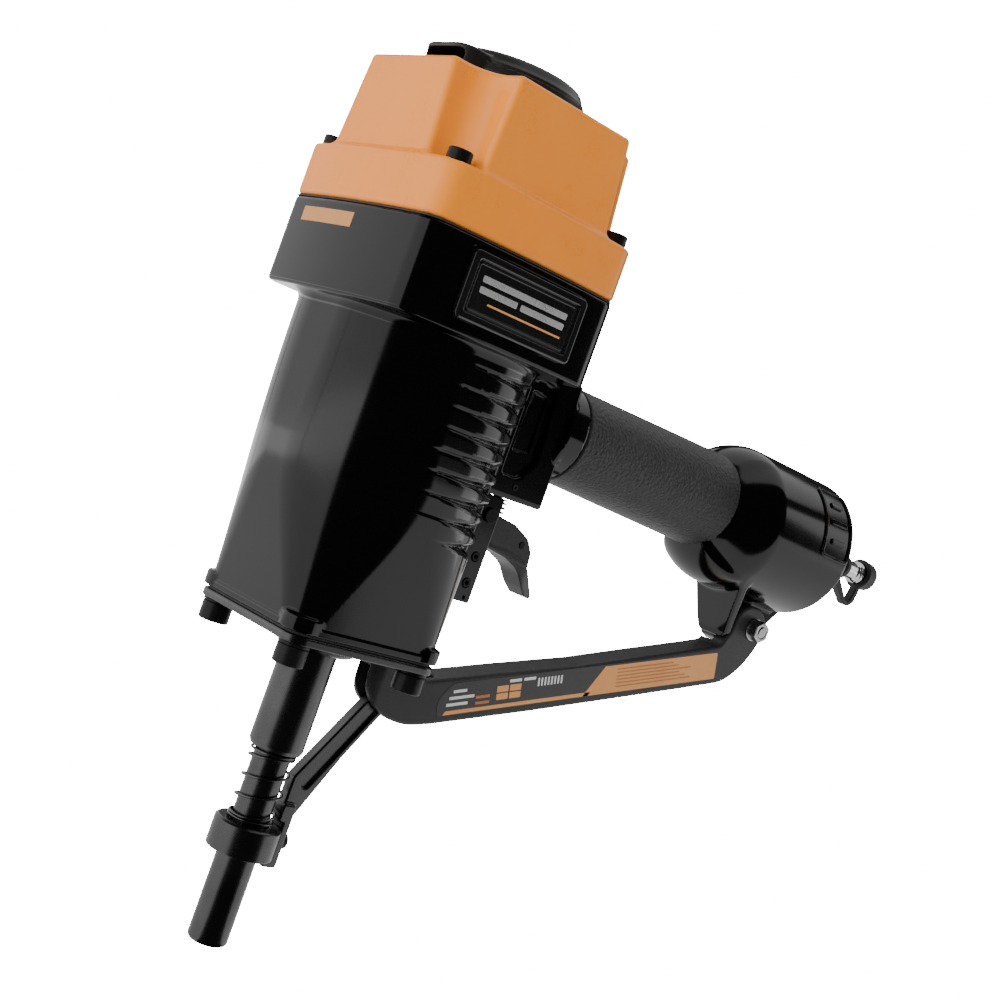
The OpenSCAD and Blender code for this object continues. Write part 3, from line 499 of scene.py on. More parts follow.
def housing_field(x, y, z):
    body = cut(barrel(x, y, z), grooves(x, y, z), 0.7)
    body = meet(body, join(x - REAR_FLAT, 222 - z, 0.5), 0.9)
    body = meet(body, between(z, HOUSING_LOW[2], 280), 0.6)
    foot = bulged(x, y, FLANGE_HALF - FLANGE_BULGE, FLANGE_BULGE, 7.5)
    flange = meet(foot, between(z, FLANGE_LOW, SEAM), 1.6)
    d = join(body, flange, 4.5)
    d = join(d, valve_block(x, y, z), 1.4)
    # ears at the four nose screws, with a thinner lip between them
    ears = vlen(np.abs(x) - SCREW_AT, np.abs(y) - SCREW_AT) - 8.8
    lip = meet(rect(x, y, 38.4, 38.4, 8), between(z, HOUSING_LOW[2], HOUSING_LOW[2] + 3.0), 0.7)
    ears = meet(ears, between(z, HOUSING_LOW[2], HOUSING_LOW[2] + 6.5), 1.0)
    d = join(d, np.minimum(lip, ears), 1.0)
    # handle root, core and air chamber
    s, w = handle_axes(x, z)
    rho = vlen(y, w)
    root = meet(rho - 22.4, between(s, -12, -0.2), 1.0)
    d = join(d, root, 2.0)
    core = meet(rho - 20, between(s, -10, 120), 0.6)
    d = np.minimum(d, core)
    end = join(np.minimum(chamber(x, y, z), core), chamber_end(x, y, z), 0.8)
    end = join(end, lug(x, y, z), 2.0)
    d = np.where(x > 130, end, d)
    d = cut(d, badge_pad(x, y, z), 0.6)
    return d


def housing_cavity(x, y, z):
    """Cylinder bore, air passage through the handle, the chamber's hollow and the inlet."""
    s, w = handle_axes(x, z)
    d = vlen(x, y) - np.where(z > SEAM - 16.4, HEAD_BORE_R, BORE_R)
    d = np.where(x < 60, d, 9.0)
    passage = meet(vlen(y, w) - 13, between(s, -50, 123), 0.5)
    tank = meet(vlen(y, w + CHAMBER_DROP) - 26, between(s, 122, 178), 6)
    inlet = meet(vlen(y, w + PLUG_DROP) - 6.6, between(s, 176, 250), 0.1)
    return np.minimum(np.minimum(d, passage), np.minimum(tank, inlet))


def make_housing():
    def field(x, y, z):
        return cut(housing_field(x, y, z), housing_cavity(x, y, z), 0.3)
    step = 1.05
    stands_for(solid("housing_casting", field, HOUSING_LOW, HOUSING_HIGH, step), "housing")
    mark = solid("chamber_mark", chamber_mark, (244, -38, 225), (276, -14, 275), 0.45)
    dress(mark, "casting_black")
    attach(mark, "tool_body")


# ---------- head ----------

def head_field(x, y, z):
    half = FLANGE_HALF - FLANGE_BULGE
    band = meet(bulged(x, y, half, FLANGE_BULGE, 7.5), between(z, HEAD_LOW[2], BAND_TOP), 2.2)
    up = np.clip((z - BAND_TOP) / (HEAD_HIGH[2] - BAND_TOP), 0, 1)
    crown = rect(x, y, 51.6 - 0.6 * up, 51.6 - 0.6 * up, 3)
    across = 17.6 + 4.4 * up
    notch = rect(np.abs(x) - 51, np.abs(y) - 51, np.where(x < 0, 14.6 + 2.6 * up, across), across, 12)
    crown = cut(crown, notch, 2.6)
    crown = meet(crown, between(z, BAND_TOP - 8, HEAD_HIGH[2]), 2.0)
    d = join(band, crown, 2.2)
    seats = meet(vlen(np.abs(x) - CAP_SCREW_AT, np.abs(y) - CAP_SCREW_AT) - 6.2,
                 between(z, BAND_TOP - 1.4, BAND_TOP + 7.5), 0.6)
    d = cut(d, seats, 0.6)
    cavity = meet(vlen(x, y) - HEAD_BORE_R, between(z, HEAD_LOW[2] - 5, HEAD_HIGH[2] - 18), 0.5)
    stem = meet(between(vlen(x, y), 20.1, 25), between(z, HEAD_HIGH[2] - 34, HEAD_HIGH[2]), 0.5)
    d = cut(d, cut(cavity, stem, 0.4), 0.3)
    ports = meet(np.abs(vlen(x, y) - 11) - 3.5, between(z, HEAD_HIGH[2] - 19, HEAD_HIGH[2] + 4), 0.3)
    return cut(d, ports, 0.4)


def make_head():
    step = 0.9
    stands_for(solid("head_casting", head_field, HEAD_LOW, HEAD_HIGH, step), "cylinder_head")


def deflector_field(x, y, z):
    """Hollow dome with a spout to one side, a groove round it and a sunk seat for its screw."""
    foot = box_mm("exhaust_deflector")[0][2]
    rho = vlen(x, y)
    up = z - foot
    dome = rho - np.interp(up, [0, 4, 7, 9.7, DOME_H], [33.5, 33.5, 32.8, 30.8, 28.8])
    dome = meet(dome, between(up, 0, DOME_H), 1.6)
    dome = cut(dome, vlen(rho - 32.4, up - 7.4) - 0.7, 0.3)
    spout = meet(rect(x + 23, y - SPOUT_Y, 17, 15.5, 8), between(up, 0, 10.2), 1.4)
    d = join(dome, spout, 1.0)
    inside = meet(rho - 29.5, up - 8, 1.0)
    mouth = meet(rect(y - SPOUT_Y, up - 4.9, 13, 3, 1.8), x + 18, 0.6)
    d = cut(d, np.minimum(inside, mouth), 0.5)
    seat = meet(rho - 6, DOME_H - 2 - up, 0.3)
    d = cut(d, seat, 0.5)
    return cut(d, rho - 2.7, 0.3)


def make_deflector():
    low, high = box_mm("exhaust_deflector")
    stands_for(solid("deflector_cap", deflector_field, low, high, 0.55),
               "exhaust_deflector")


# ---------- nose ----------

def nose_plate_field(x, y, z):
    d = meet(rect(x, y, 38.4, 38.4, 8), between(z, PLATE_HIGH[2] - 3.6, PLATE_HIGH[2]), 0.8)
    boss = meet(vlen(x, y) - 21 + 5 * smoothstep(PLATE_HIGH[2] - 3.6 - z, 1.5, 6.5),
                between(z, PLATE_LOW[2], PLATE_HIGH[2] - 1), 1.2)
    d = join(d, boss, 1.0)
    holes = vlen(np.abs(x) - SCREW_AT, np.abs(y) - SCREW_AT) - 4.2
    return cut(cut(d, vlen(x, y) - 11.85, 0.3), holes, 0.3)


def nose_barrel_field(x, y, z):
    low, high = box_mm("nose_barrel")
    rho = vlen(x, y)
    d = meet(rho - 11.8 + 0.8 * smoothstep(low[2] + 2.2 - z, 0, 2.2), between(z, low[2], high[2]), 0.5)
    return cut(d, meet(rho - 8.05, z - high[2] + 3, 0.1), 0.4)


def muzzle_field(x, y, z):
    low, high = box_mm("muzzle_tube")
    rho = vlen(x, y)
    mouth = np.where(z < 10, 2.2, 0.8)
    d = meet(rho - np.where(z < 50, 8.75, 8.0), between(z, low[2], high[2]), mouth)
    return cut(d, rho - np.where(z < 50, 4.2, 4.4), 0.5)


def collar_field(x, y, z):
    low, high = box_mm("contact_collar")
    rho = vlen(x, y)
    d = meet(rho - 14.5, between(z, low[2], high[2]), 0.7)
    d = meet(d, (rho + z - 14.5 - high[2] + 1.0) * 0.7071, 0.15)
    d = meet(d, x - high[0], 0.6)
    return cut(d, rho - 8.8, 0.3)


def arm_field(x, y, z):
    """Foot on the collar, then an I-section strut with a long round-ended recess in each side."""
    foot = meet(outline(x, z, softened([(13.9, 39.9, 0.5), (13.9, 56, 1), (11, 57, 1), (11, 64, 2),
                                        (17.8, 64, 2), (17.8, 35.8, 1.8), (10.4, 35.8, 1.8),
                                        (9.8, 39.9, 0.5)])),
                np.abs(y) - 5, 0.8)
    strut = outline(x, z, softened([(12.4, 56, 1), (12.5, 75.8, 6), (37.5, 116.3, 4), (46, 130, 4),
                                    (50, 132, 1), (50, 149.8, 1), (62, 149.8, 1), (62, 132, 4),
                                    (56, 127, 6), (46.5, 110.5, 4), (33.2, 87.5, 8), (17.8, 56, 2)]))
    strut = meet(strut, np.abs(y) - 3, 0.7)
    recess = outline(x, z, softened([(17.2, 72, 2.6), (20.6, 70.8, 2.6), (52, 124.6, 2.6),
                                     (48.4, 127.6, 2.6), (17.0, 77, 2.6)]))
    strut = cut(strut, meet(recess, 1.3 - np.abs(y), 0.5), 0.5)
    d = join(foot, strut, 1.0)
    half_lap = meet(between(z, 130, 151), -y, 0.1)
    d = cut(d, half_lap, 0.1)
    hole = vlen(y, z - 47) - 2.05
    return cut(d, np.where(x < 30, hole, 9.0), 0.1)


def socket_head_field(x, y, z, z_top, r, height, key, shank_r, shank_z):
    """Cap screw whose head hangs under z_top, in its own axis' coordinates."""
    rho = vlen(x, y)
    d = meet(rho - r, between(z, z_top - height, z_top), 0.7)
    d = cut(d, meet(hexagon(x, y, key), z - z_top + height * 0.45, 0.2), 0.35)
    shank = meet(rho - shank_r, between(z, z_top - 1, shank_z), 0.4)
    return join(d, shank, 0.2)


def base_screws_field(x, y, z):
    low, high = box_mm("base_screws")
    return socket_head_field(np.abs(x) - SCREW_AT, np.abs(y) - SCREW_AT, z, low[2] + 8, 6.5, 8, 3.1, 4,
                             high[2])


def cap_screws_field(x, y, z):
    low, high = box_mm("cap_screws")
    return socket_head_field(np.abs(x) - CAP_SCREW_AT, np.abs(y) - CAP_SCREW_AT, -z, -high[2] + 6, 5, 6,
                             2.4, 3, -low[2])


def make_nose():
    fine = 1.0
    for name, node, field, step in (
            ("nose_flange", "nose_plate", nose_plate_field, 0.7),
            ("nose_tube", "nose_barrel", nose_barrel_field, 0.5),
            ("muzzle", "muzzle_tube", muzzle_field, 0.5),
            ("collar", "contact_collar", collar_field, 0.45),
            ("arm", "contact_arm", arm_field, 0.42),
            ("base_cap_screws", "base_screws", base_screws_field, 0.5),
            ("head_cap_screws", "cap_screws", cap_screws_field, 0.5)):
        low, high = box_mm(node)
        stands_for(solid(name, field, low, high, step * fine), node)


# ---------- springs ----------

def make_springs():
    """Each spring's joint, radius, wire radius, turns, closed turns at an end, and shortest length."""
    specs = {"contact_spring": ("contact_press", 9.4, 0.6, 6.3, 1.6, 0.5),
             "trigger_spring": ("trigger_pull", 4.6, 0.35, 5.5, 1.0, 0.78),
             "head_valve_spring": ("head_valve_lift", 22.5, 0.7, 6.0, 1.0, 0.75),
             "valve_spring": ("stem_push", 3.8, 0.35, 6.0, 1.0, 0.81)}
    for node, (joint, r, wire, turns, closed, keep) in specs.items():
        low, high = box_mm(node)
        centre = ((low[0] + high[0]) / 2, (low[1] + high[1]) / 2)
        if node != "contact_spring":
            centre = (round(centre[0], 1), 0.0)
        obj = coil(node + "_wire", centre, r, wire, low[2], high[2], turns, closed)
        stands_for(obj, node)
        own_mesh(obj)


# ---------- handle ----------

def grip_field(x, y, z):
    s, w = handle_axes(x, z)
    rho = vlen(y, w)
    d = meet(rho - 22.4 - 1.8 * np.clip(s / GRIP_END, 0, 1), between(s, 0.3, GRIP_END), 0.8)
    d = cut(d, rho - 20.05, 0.3)
    return cut(d, chamber(x, y, z) - 0.35, 0.5)


def plug_field(x, y, z):
    s, w = handle_axes(x, z)
    w = w + PLUG_DROP
    rho = vlen(y, w)
    body = meet(rho - 6.5, between(s, 197, 213.5), 0.2)
    nut = meet(meet(hexagon(y, w, 7), between(s, 213.1, 221.1), 0.4), rho - 7.8, 0.5)
    neck = meet(rho - 5, between(s, 220, 243), 0.4)
    tip = meet(rho - 6.1 + 0.5 * np.abs(np.sin((s - 243) * 1.3)), between(s, 241, 251.5), 0.7)
    d = np.minimum(np.minimum(body, nut), join(neck, tip, 0.8))
    return cut(d, rho - 3.2, 0.4)


def dust_cap_field(x, y, z):
    s, w = handle_axes(x, z)
    w = w + PLUG_DROP
    rho = vlen(y, w)
    d = meet(rho - 8.3 + 0.06 * (s - 247), between(s, 247, 256), 1.6)
    d = cut(d, meet(rho - 6.15, s - 253, 0.3), 0.3)
    d = join(d, vlen(rho - 7.5, s - 248.2) - 0.85, 0.4)
    strap = outline(s, w, softened([(248, -7.6, 0), (251.6, -7.6, 1), (250.2, -16, 6), (247, -18.9, 8),
                                    (242.6, -19.4, 8), (228.4, -9.2, 2), (228.4, -6, 0), (231, -6, 0),
                                    (243, -16.6, 5), (246, -16.2, 3)]))
    strap = meet(strap, np.abs(y) - 2.5, 0.8)
    ring = meet(between(rho, 5.05, 7), between(s, 228, 231.4), 0.6)
    return join(join(d, strap, 0.6), ring, 0.6)


def make_handle():
    fine = 1.0
    low, high = box_mm("grip_sleeve")
    high = high + np.array([14, 0, 0])
    stands_for(solid("grip_rubber", grip_field, low - 1, high + 1, 0.9 * fine), "grip_sleeve")
    for name, node, field, step in (("plug", "air_plug", plug_field, 0.4),
                                    ("plug_cap", "dust_cap", dust_cap_field, 0.4)):
        low, high = box_mm(node)
        stands_for(solid(name, field, low - 0.5, high + 0.5, step * fine), node)


# ---------- guard bar ----------

GUARD_BOLT = (257, 195)
GUARD_TOP = (58, 128.8)
GUARD_EDGE = [(28.9, 124, 40), (29, 136, 1), (53, 136, 1), (58.1, 128.8, 4), (99.1, 140.4, 20),
              (148.7, 153.8, 20), (183.5, 164.9, 20), (224.5, 177.6, 30), (236.7, 181.6, 6),
              (241.2, 190, 12), (243.4, 202, 8), (249.5, 206.4, 9), (260.5, 206.2, 10), (267.9, 197, 14),
              (264.3, 185, 40), (259.2, 175, 40), (249, 164.2, 60), (192.8, 146.9, 60),
              (124.1, 126.1, 20), (69.5, 110.3, 60), (56, 107.4, 40), (43, 109.2, 40), (33.6, 115.6, 40)]


def guard_field(x, y, z):
    """Bar with a rounded front end, slotted for the contact arm, and a half-thick end at its bolt."""
    edge = outline(x, z, softened(GUARD_EDGE))
    d = meet(edge, rect(x - 137, y, 108.1, 8, 7.9), 1.5)
    d = np.where(x > 100, meet(edge, np.abs(y) - 8, 1.5), d)
    behind = meet(outline(x, z, softened([(238, 179, 1), (300, 150, 1), (300, 230, 1), (240, 230, 1)])),
                  -y - 0.2, 0.5)
    d = cut(d, behind, 0.8)
    d = np.where(x < 62, meet(d, z - PLATE_HIGH[2] + 3.75, 0.5), d)
    slot = meet(rect(x - 38, y, 29.5, 3.7, 2), z - 200, 0.4)
    slot = np.where((x > 20) & (x < 34), np.maximum(slot, z - 129.5), slot)
    d = cut(d, slot, 0.4)
    hole = vlen(x - GUARD_BOLT[0], z - GUARD_BOLT[1]) - 3.1
    return cut(d, hole, 0.4)


def washer_field(x, y, z):
    rho = vlen(x - GUARD_BOLT[0], z - GUARD_BOLT[1])
    d = np.minimum(meet(rho - 6, between(y, -9.2, -8), 0.35), meet(rho - 6, between(y, 12, 13.2), 0.35))
    return cut(d, rho - 3.15, 0.2)


def nut_field(x, y, z):
    u, v = x - GUARD_BOLT[0], z - GUARD_BOLT[1]
    rho = vlen(u, v)
    d = meet(meet(hexagon(u, v, 5), between(y, -14.2, -9.2), 0.35), rho - 5.6, 0.4)
    return cut(d, rho - 3.05, 0.4)


def bolt_field(x, y, z):
    u, v = x - GUARD_BOLT[0], z - GUARD_BOLT[1]
    thread = 0.18 * np.abs(np.sin(y * math.pi)) * (y < -8)
    shank = meet(vlen(u, v) - 2.98 + thread, between(y, box_mm("guard_bolt")[0][1], 14), 0.5)
    head = meet(meet(hexagon(u, v, 5), between(y, 13.2, 17.2), 0.35), vlen(u, v) - 5.6, 0.4)
    return np.minimum(shank, head)


def make_guard():
    fine = 1.0
    for name, node, field, step in (("guard_casting", "guard_bar", guard_field, 0.8),
                                    ("bolt_washers", "guard_washers", washer_field, 0.35),
                                    ("bolt_nut", "guard_nut", nut_field, 0.32),
                                    ("bolt", "guard_bolt", bolt_field, 0.32)):
        low, high = box_mm(node)
        stands_for(solid(name, field, low - 0.5, high + 0.5, step * fine), node)


def make_label():
    """Printed film on the guard bar's side: plain bars and blocks stand where the lettering is."""
    y = box_mm("guard_bar")[0][1]
    slope = math.radians(16.5)

    def at(u, v):
        x = GUARD_TOP[0] + u * math.cos(slope) - v * math.sin(slope)
        return (x, GUARD_TOP[1] + u * math.sin(slope) + v * math.cos(slope))

    def bar(name, corners, rise, material):
        obj = plate(name, [at(u, v) for u, v in softened(corners, 5)], y - rise, y + 0.1, 0.03)
        dress(obj, "label_print", material)
        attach(obj, "tool_body")
        return obj

    film = bar("label_film", [(9, -17.6, 2.5), (8.4, -10, 8), (16.5, -2.6, 6), (186, -2.6, 1.2),
                              (186, -17.6, 1.2)], 0.14, "label_print")
    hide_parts("guard_label")
    bar("label_stripe", [(12, -17.2, 0.3), (13.5, -15.4, 0.5), (100, -15.4, 0.3), (98.5, -17.2, 0.3)], 0.2,
        "label_orange")
    bar("label_panel", [(95, -17.2, 0.3), (108, -3.4, 0.4), (185.2, -3.4, 1.0), (185.2, -17.2, 1.0)], 0.2,
        "label_orange")
    for k in range(6):
        bar(f"label_line_{k}", [(116, -5.9 - 1.75 * k, 0.3), (116, -5.2 - 1.75 * k, 0.3),
                                (159 + 4 * (k % 3) - 5 * (k < 2), -5.2 - 1.75 * k, 0.3),
                                (159 + 4 * (k % 3) - 5 * (k < 2), -5.9 - 1.75 * k, 0.3)], 0.24, "label_dim")
    for k, (u, v, w) in enumerate(((17, -6.4, 7.5), (15, -9.4, 14), (13.6, -12.4, 12), (49, -4.6, 7),
                                   (57.5, -4.6, 7), (30, -10.4, 8), (30, -13.2, 8))):
        bar(f"label_block_{k}", [(u, v - 0.9, 0.3), (u, v + 0.5, 0.3), (u + w, v + 0.5, 0.3),
                                 (u + w, v - 0.9, 0.3)], 0.22, "label_pale" if k < 5 else "label_dim")
    for k, (u, v) in enumerate(((42, -9.6), (49.5, -9.6), (42, -13.2), (49.5, -13.2))):
        bar(f"label_cell_{k}", [(u, v, 0.3), (u, v + 3.0, 0.3), (u + 6.6, v + 3.0, 0.3), (u + 6.6, v, 0.3)],
            0.22, "label_orange")
    for k in range(8):
        bar(f"label_tick_{k}", [(66 + 2 * k, -9, 0.2), (66 + 2 * k, -5, 0.2), (67 + 2 * k, -5, 0.2),
                                (67 + 2 * k, -9, 0.2)], 0.22, "label_pale")


# ---------- badge ----------

def badge_frame_field(x, y, z):
    low, high = box_mm("badge_frame")
    cx, cz = (low[0] + high[0]) / 2, (low[2] + high[2]) / 2
    hx, hz = (high[0] - low[0]) / 2, (high[2] - low[2]) / 2
    edge = rect(x - cx, z - cz, hx, hz, 2.4)
    slope = (edge - (y - low[1])) * 0.7071 + 0.2
    d = meet(meet(edge, slope, 0.4), between(y, low[1], high[1]), 0.4)
    inner = rect(x - cx, z - cz, hx - 3.2, hz - 3.2, 1.2)
    d = cut(d, meet(inner, y - low[1] - 1.3, 0.2), 0.35)
    bead = vlen(rect(x - cx, z - cz, hx - 4.6, hz - 4.6, 1), y - low[1] - 1.3) - 0.45
    return join(d, bead, 0.2)


def make_badge():
    low, high = box_mm("badge_frame")
    stands_for(solid("badge_surround", badge_frame_field, low, high, 0.36),
               "badge_frame")
    y = low[1] + 1.3
    face = plate("badge_face", softened([(-24.6, 280.2, 1), (26.6, 280.2, 1), (26.6, 297.2, 1),
                                         (-24.6, 297.2, 1)]), y - 0.25, y + 0.3, 0.08)
    stands_for(face, "badge_plate")
    dress(face, "badge_silver", "badge_black")
    bars = [(-22, 291.5, 46, 2.6), (-22, 287.2, 20, 2.6), (0, 287.2, 24, 2.6)]
    for k, (x, z, w, h) in enumerate(bars):
        obj = plate(f"badge_bar_{k}", softened([(x, z, 0.6), (x + w, z, 0.6), (x + w, z + h, 0.6),
                                                (x, z + h, 0.6)], 4), y - 0.55, y, 0.12)
        dress(obj, "badge_silver")
        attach(obj, "tool_body")
    stripe = plate("badge_stripe", softened([(-16, 283.6, 0.3), (24, 283.6, 0.3), (24, 284.4, 0.3),
                                             (-16, 284.4, 0.3)], 3), y - 0.5, y, 0.08)
    dress(stripe, "badge_silver", "label_orange")
    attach(stripe, "tool_body")


def make_flange_strip():
    """Plain painted bar on the flange's front face, where the tool carries a name."""
    half = FLANGE_HALF - FLANGE_BULGE
    arc = (half * half + FLANGE_BULGE * FLANGE_BULGE) / (2 * FLANGE_BULGE)
    count, lift = 24, 0.12
    vertices, faces = [], []
    for k in range(count + 1):
        y = -5 + 39 * k / count
        x = arc - half - FLANGE_BULGE - math.sqrt(arc * arc - y * y)
        vertices += [(x + 0.2, y, 296), (x - lift, y, 296), (x - lift, y, 302), (x + 0.2, y, 302)]
    for k in range(count):
        a, b = 4 * k, 4 * k + 4
        faces += [[a + i, a + (i + 1) % 4, b + (i + 1) % 4, b + i] for i in range(4)]
    faces += [[3, 2, 1, 0], [4 * count + i for i in range(4)]]
    strip = new_object("flange_strip", vertices, faces)
    strip.data.shade_flat()
    dress(strip, "head_orange", "strip_orange")
    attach(strip, "tool_body")


# ---------- trigger ----------

PIVOT = (58.9, 206.9)


def bracket_field(x, y, z):
    low, high = box_mm("trigger_bracket")
    d = block(x - (low[0] + high[0]) / 2, y, z - (low[2] + high[2]) / 2, (high[0] - low[0]) / 2, 11,
              (high[2] - low[2]) / 2, 0.8)
    inside = meet(np.abs(y) - 7.2, low[0] + 3.4 - x, 0.8)
    d = cut(d, inside, 0.5)
    for px, pz, r in ((PIVOT[0], PIVOT[1], 2.05), (PIVOT[0], 175.8, 2.1), (PIVOT[0], 187.9, 2.1),
                      (PIVOT[0] + 1.4, 169.4, 0.7)):
        d = cut(d, vlen(x - px, z - pz) - r, 0.3)
    for sz in (182, 198):
        d = cut(d, np.where(x < 52, vlen(y, z - sz) - 2.05, 9.0), 0.1)
    return d


def trigger_field(x, y, z):
    side = outline(x, z, softened([(55.6, 203.4, 3), (58.4, 211.3, 3), (64.5, 208.2, 4), (79, 206.5, 8),
                                   (89, 202, 6), (93.2, 196.4, 3), (93.9, 189.8, 1), (79, 191.4, 6),
                                   (66, 193.4, 3), (60, 202, 4)]))
    sides = meet(side, between(np.abs(y), 5.2, 7), 0.5)
    finger = outline(x, z, softened([(66.6, 193.2, 0.6), (79.3, 191.1, 6), (88.5, 187.4, 14),
                                     (94.6, 180.2, 14), (99, 176.4, 2), (104, 176.0, 1.4),
                                     (103.4, 178.6, 2.5), (98.6, 184.6, 14), (92.7, 191.4, 8),
                                     (79, 194.2, 6), (67, 194.6, 0.6)]))
    finger = meet(finger, np.abs(y) - 7.2 + 2.6 * smoothstep(x, 92, 105), 0.9)
    seat = meet(outline(x, z, [(64, 206.2), (64, 204.6), (74, 204.6), (74, 206.2)]), np.abs(y) - 6, 0.3)
    hub = meet(vlen(x - PIVOT[0], z - PIVOT[1]) - 4.3, between(np.abs(y), 5.0, 7.1), 0.4)
    d = join(join(sides, finger, 0.8), np.minimum(seat, hub), 0.4)
    d = cut(d, vlen(x - PIVOT[0], z - PIVOT[1]) - 2.06, 0.15)
    d = cut(d, vlen(x - 86, z - 198.7) - 1.6, 0.15)
    return cut(d, np.where((z > 203) & (z < 209), vlen(x - 69, y) - 3.6, 9.0), 0.2)


def make_trigger():
    fine = 1.0
    for name, node, field, step in (("bracket", "trigger_bracket", bracket_field, 0.42),
                                    ("trigger_blade", "trigger", trigger_field, 0.36)):
        low, high = box_mm(node)
        stands_for(solid(name, field, low - 0.5, high + 0.5, step * fine), node)


# ---------- parts kept from the CAD ----------

def keep_cad_parts():
    """Every CAD node that nothing replaces gets its material, and small round edges."""
    for name, obj in frame["nodes"].items():
        if obj.hide_render:
            continue
        dress(obj, NODE_SLOT[name])
        weld = obj.modifiers.new("weld", "WELD")
        weld.merge_threshold = 2e-6
        flat = obj.modifiers.new("flat", "DECIMATE")
        flat.decimate_type = "DISSOLVE"
        flat.angle_limit = math.radians(0.6)
        edge = obj.modifiers.new("edge", "BEVEL")
        edge.width = 0.25 * MM
        edge.segments = 2
        edge.limit_method = "ANGLE"
        edge.angle_limit = math.radians(35)
        normals = obj.modifiers.new("normals", "WEIGHTED_NORMAL")
        normals.keep_sharp = True


# ---------- studio ----------

CAMERA_AT = Vector((-0.39326, -0.53888, 0.21837))
CAMERA_RIGHT = Vector((0.714549, -0.612885, 0.337330))
CAMERA_DOWN = Vector((0.252371, -0.223894, -0.941371))
CAMERA_AHEAD = Vector((0.652479, 0.757788, -0.005308))
SEEN_WHITE = 30.0
WORLD_GLOSSY = 0.03
WORLD_DIFFUSE = 0.25
FLOOR_GLOSSY = 1.0
DIM_FROM = -26
DIM_SWEEP = 100


def make_camera():
    data = bpy.data.cameras.new("camera")
    data.lens = 57.36
    data.sensor_width = 36
    cam = bpy.data.objects.new("camera", data)
    bpy.context.scene.collection.objects.link(cam)
    turn = Matrix((CAMERA_RIGHT, -CAMERA_DOWN, -CAMERA_AHEAD)).transposed()
    cam.matrix_world = Matrix.Translation(CAMERA_AT) @ turn.to_4x4()
    bpy.context.scene.camera = cam


def softbox(name, at, target, size_x, size_y, power, spread=180):
    data = bpy.data.lights.new(name, "AREA")
    data.shape = "RECTANGLE"
    data.size, data.size_y = size_x, size_y
    data.energy = power
    data.spread = math.radians(spread)
    lamp = bpy.data.objects.new(name, data)
    bpy.context.scene.collection.objects.link(lamp)
    lamp.location = at
    lamp.rotation_mode = "QUATERNION"
    lamp.rotation_quaternion = (Vector(at) - Vector(target)).to_track_quat("Z", "Y")
    return lamp


def around(azimuth, height, distance):
    """A point round the tool. Azimuth 0 is the camera's side, and positive goes to its right."""
    base = math.atan2(-CAMERA_AHEAD.y, -CAMERA_AHEAD.x)
    a = base + math.radians(azimuth)
    return Vector((0.08 + distance * math.cos(a), distance * math.sin(a), height))


def floor_material(name, mirrored_strength):
    """White to the camera, pale to soft light, and only so bright in reflections."""
    mat = bpy.data.materials.new(name)
    mat.use_nodes = True
    nodes, links = mat.node_tree.nodes, mat.node_tree.links
    shader = nodes["Principled BSDF"]
    shader.inputs["Base Color"].default_value = (0.8, 0.8, 0.8, 1)
    shader.inputs["Roughness"].default_value = 0.9
    shader.inputs["Emission Color"].default_value = (1, 1, 1, 1)
    shader.inputs["Emission Strength"].default_value = 0.1
    seen = nodes.new("ShaderNodeEmission")
    seen.inputs["Strength"].default_value = SEEN_WHITE
    mirrored = nodes.new("ShaderNodeEmission")
    mirrored.inputs["Strength"].default_value = mirrored_strength
    split = nodes.new("ShaderNodeMixShader")
    mix = nodes.new("ShaderNodeMixShader")
    path = nodes.new("ShaderNodeLightPath")
    links.new(path.outputs["Is Glossy Ray"], split.inputs["Fac"])
    links.new(shader.outputs[0], split.inputs[1])
    links.new(mirrored.outputs[0], split.inputs[2])
    links.new(path.outputs["Is Camera Ray"], mix.inputs["Fac"])
    links.new(split.outputs[0], mix.inputs[1])
    links.new(seen.outputs[0], mix.inputs[2])
    links.new(mix.outputs[0], nodes["Material Output"].inputs["Surface"])
    return mat


def make_floor():
    """A round floor. Its sector in front of the camera mirrors dimly in the dark enamel."""
    sectors, radius = 36, 8.0
    vertices = [(0, 0, 0)]
    for k in range(sectors):
        edge = around(DIM_FROM + 10 * k, 0, radius)
        vertices.append((edge.x, edge.y, 0))
    faces = [(0, 1 + k, 1 + (k + 1) % sectors) for k in range(sectors)]
    mesh = bpy.data.meshes.new("floor")
    mesh.from_pydata(vertices, [], faces)
    for k, face in enumerate(mesh.polygons):
        face.material_index = 1 if 10 * k < DIM_SWEEP else 0
    floor = bpy.data.objects.new("floor", mesh)
    floor.location.z = -0.0005
    bpy.context.scene.collection.objects.link(floor)
    return floor


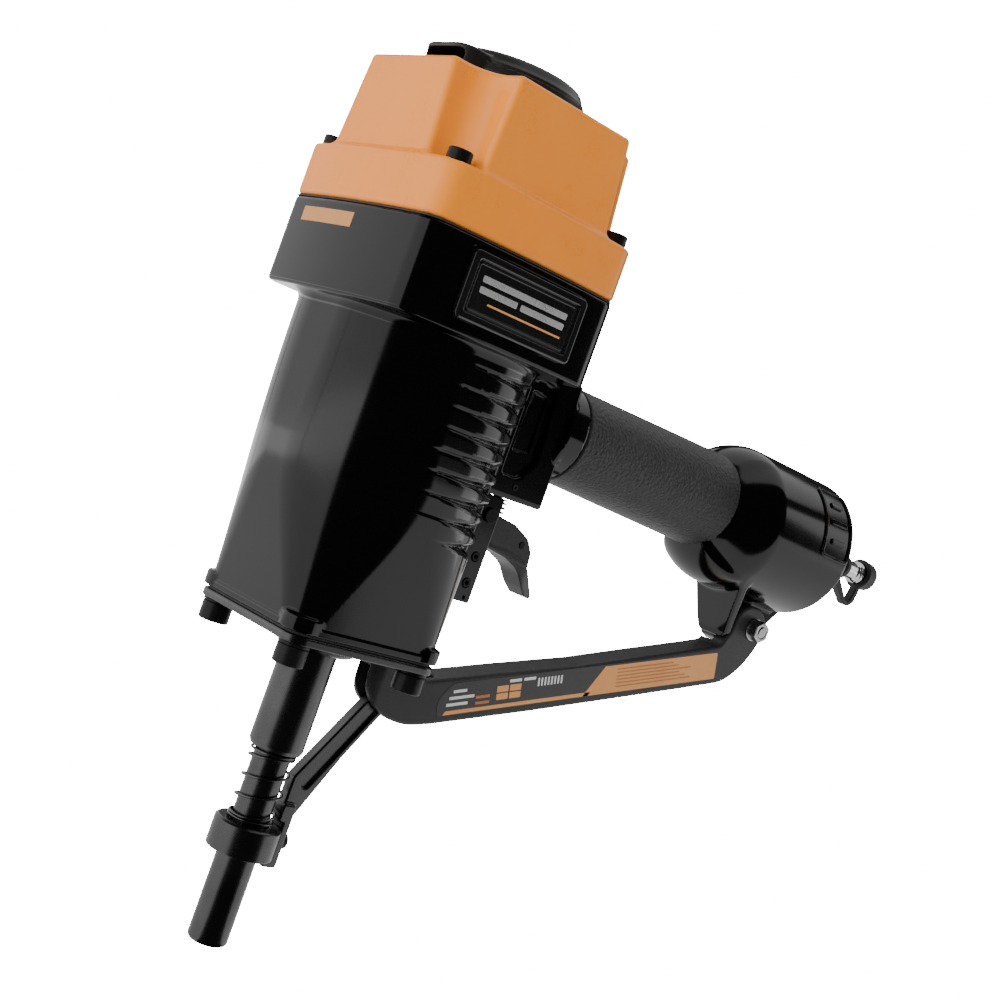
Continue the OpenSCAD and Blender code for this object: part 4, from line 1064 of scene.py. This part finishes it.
def make_studio():
    world = bpy.data.worlds.new("studio")
    bpy.context.scene.world = world
    world.use_nodes = True
    nodes, links = world.node_tree.nodes, world.node_tree.links
    ground = nodes["Background"]
    ground.inputs["Color"].default_value = (1, 1, 1, 1)
    ground.inputs["Strength"].default_value = WORLD_GLOSSY
    soft = nodes.new("ShaderNodeBackground")
    soft.inputs["Color"].default_value = (1, 1, 1, 1)
    soft.inputs["Strength"].default_value = WORLD_DIFFUSE
    bright = nodes.new("ShaderNodeBackground")
    bright.inputs["Color"].default_value = (1, 1, 1, 1)
    bright.inputs["Strength"].default_value = SEEN_WHITE
    split = nodes.new("ShaderNodeMixShader")
    mix = nodes.new("ShaderNodeMixShader")
    path = nodes.new("ShaderNodeLightPath")
    links.new(path.outputs["Is Glossy Ray"], split.inputs["Fac"])
    links.new(soft.outputs[0], split.inputs[1])
    links.new(ground.outputs[0], split.inputs[2])
    links.new(path.outputs["Is Camera Ray"], mix.inputs["Fac"])
    links.new(split.outputs[0], mix.inputs[1])
    links.new(bright.outputs[0], mix.inputs[2])
    links.new(mix.outputs[0], nodes["World Output"].inputs["Surface"])

    target = (0.08, 0, 0.2)
    softbox("card_left", around(-104, 0.35, 1.5), target, 1.5, 1.8, 9)
    softbox("card_far_left", around(-151, 0.35, 1.6), target, 1.1, 1.8, 6.5)
    softbox("card_front_left", around(-52, 0.35, 1.6), target, 1.5, 1.8, 9)
    softbox("card_right", around(112, 0.30, 1.6), target, 0.8, 1.4, 4.5)
    softbox("card_top", (1.0, 0.4, 1.7), (1.0, 0.4, 0), 2.6, 2.3, 17)
    for name, at, side, power in (("wash_front", around(-12, 1.0, 1.7), 1.2, 20),
                                  ("wash_left", around(-70, 0.8, 1.7), 1.2, 14),
                                  ("wash_right", around(80, 0.9, 1.8), 1.0, 6)):
        softbox(name, at, target, side, side, power).visible_glossy = False

    floor = make_floor()
    for name, mirrored in (("floor_pale", FLOOR_GLOSSY), ("floor_dim", WORLD_GLOSSY)):
        floor.data.materials.append(floor_material(name, mirrored))


MATERIALS = make_materials()
make_housing()
make_head()
make_deflector()
make_nose()
make_springs()
make_handle()
make_guard()
make_label()
make_badge()
make_flange_strip()
make_trigger()
keep_cad_parts()
make_camera()
make_studio()
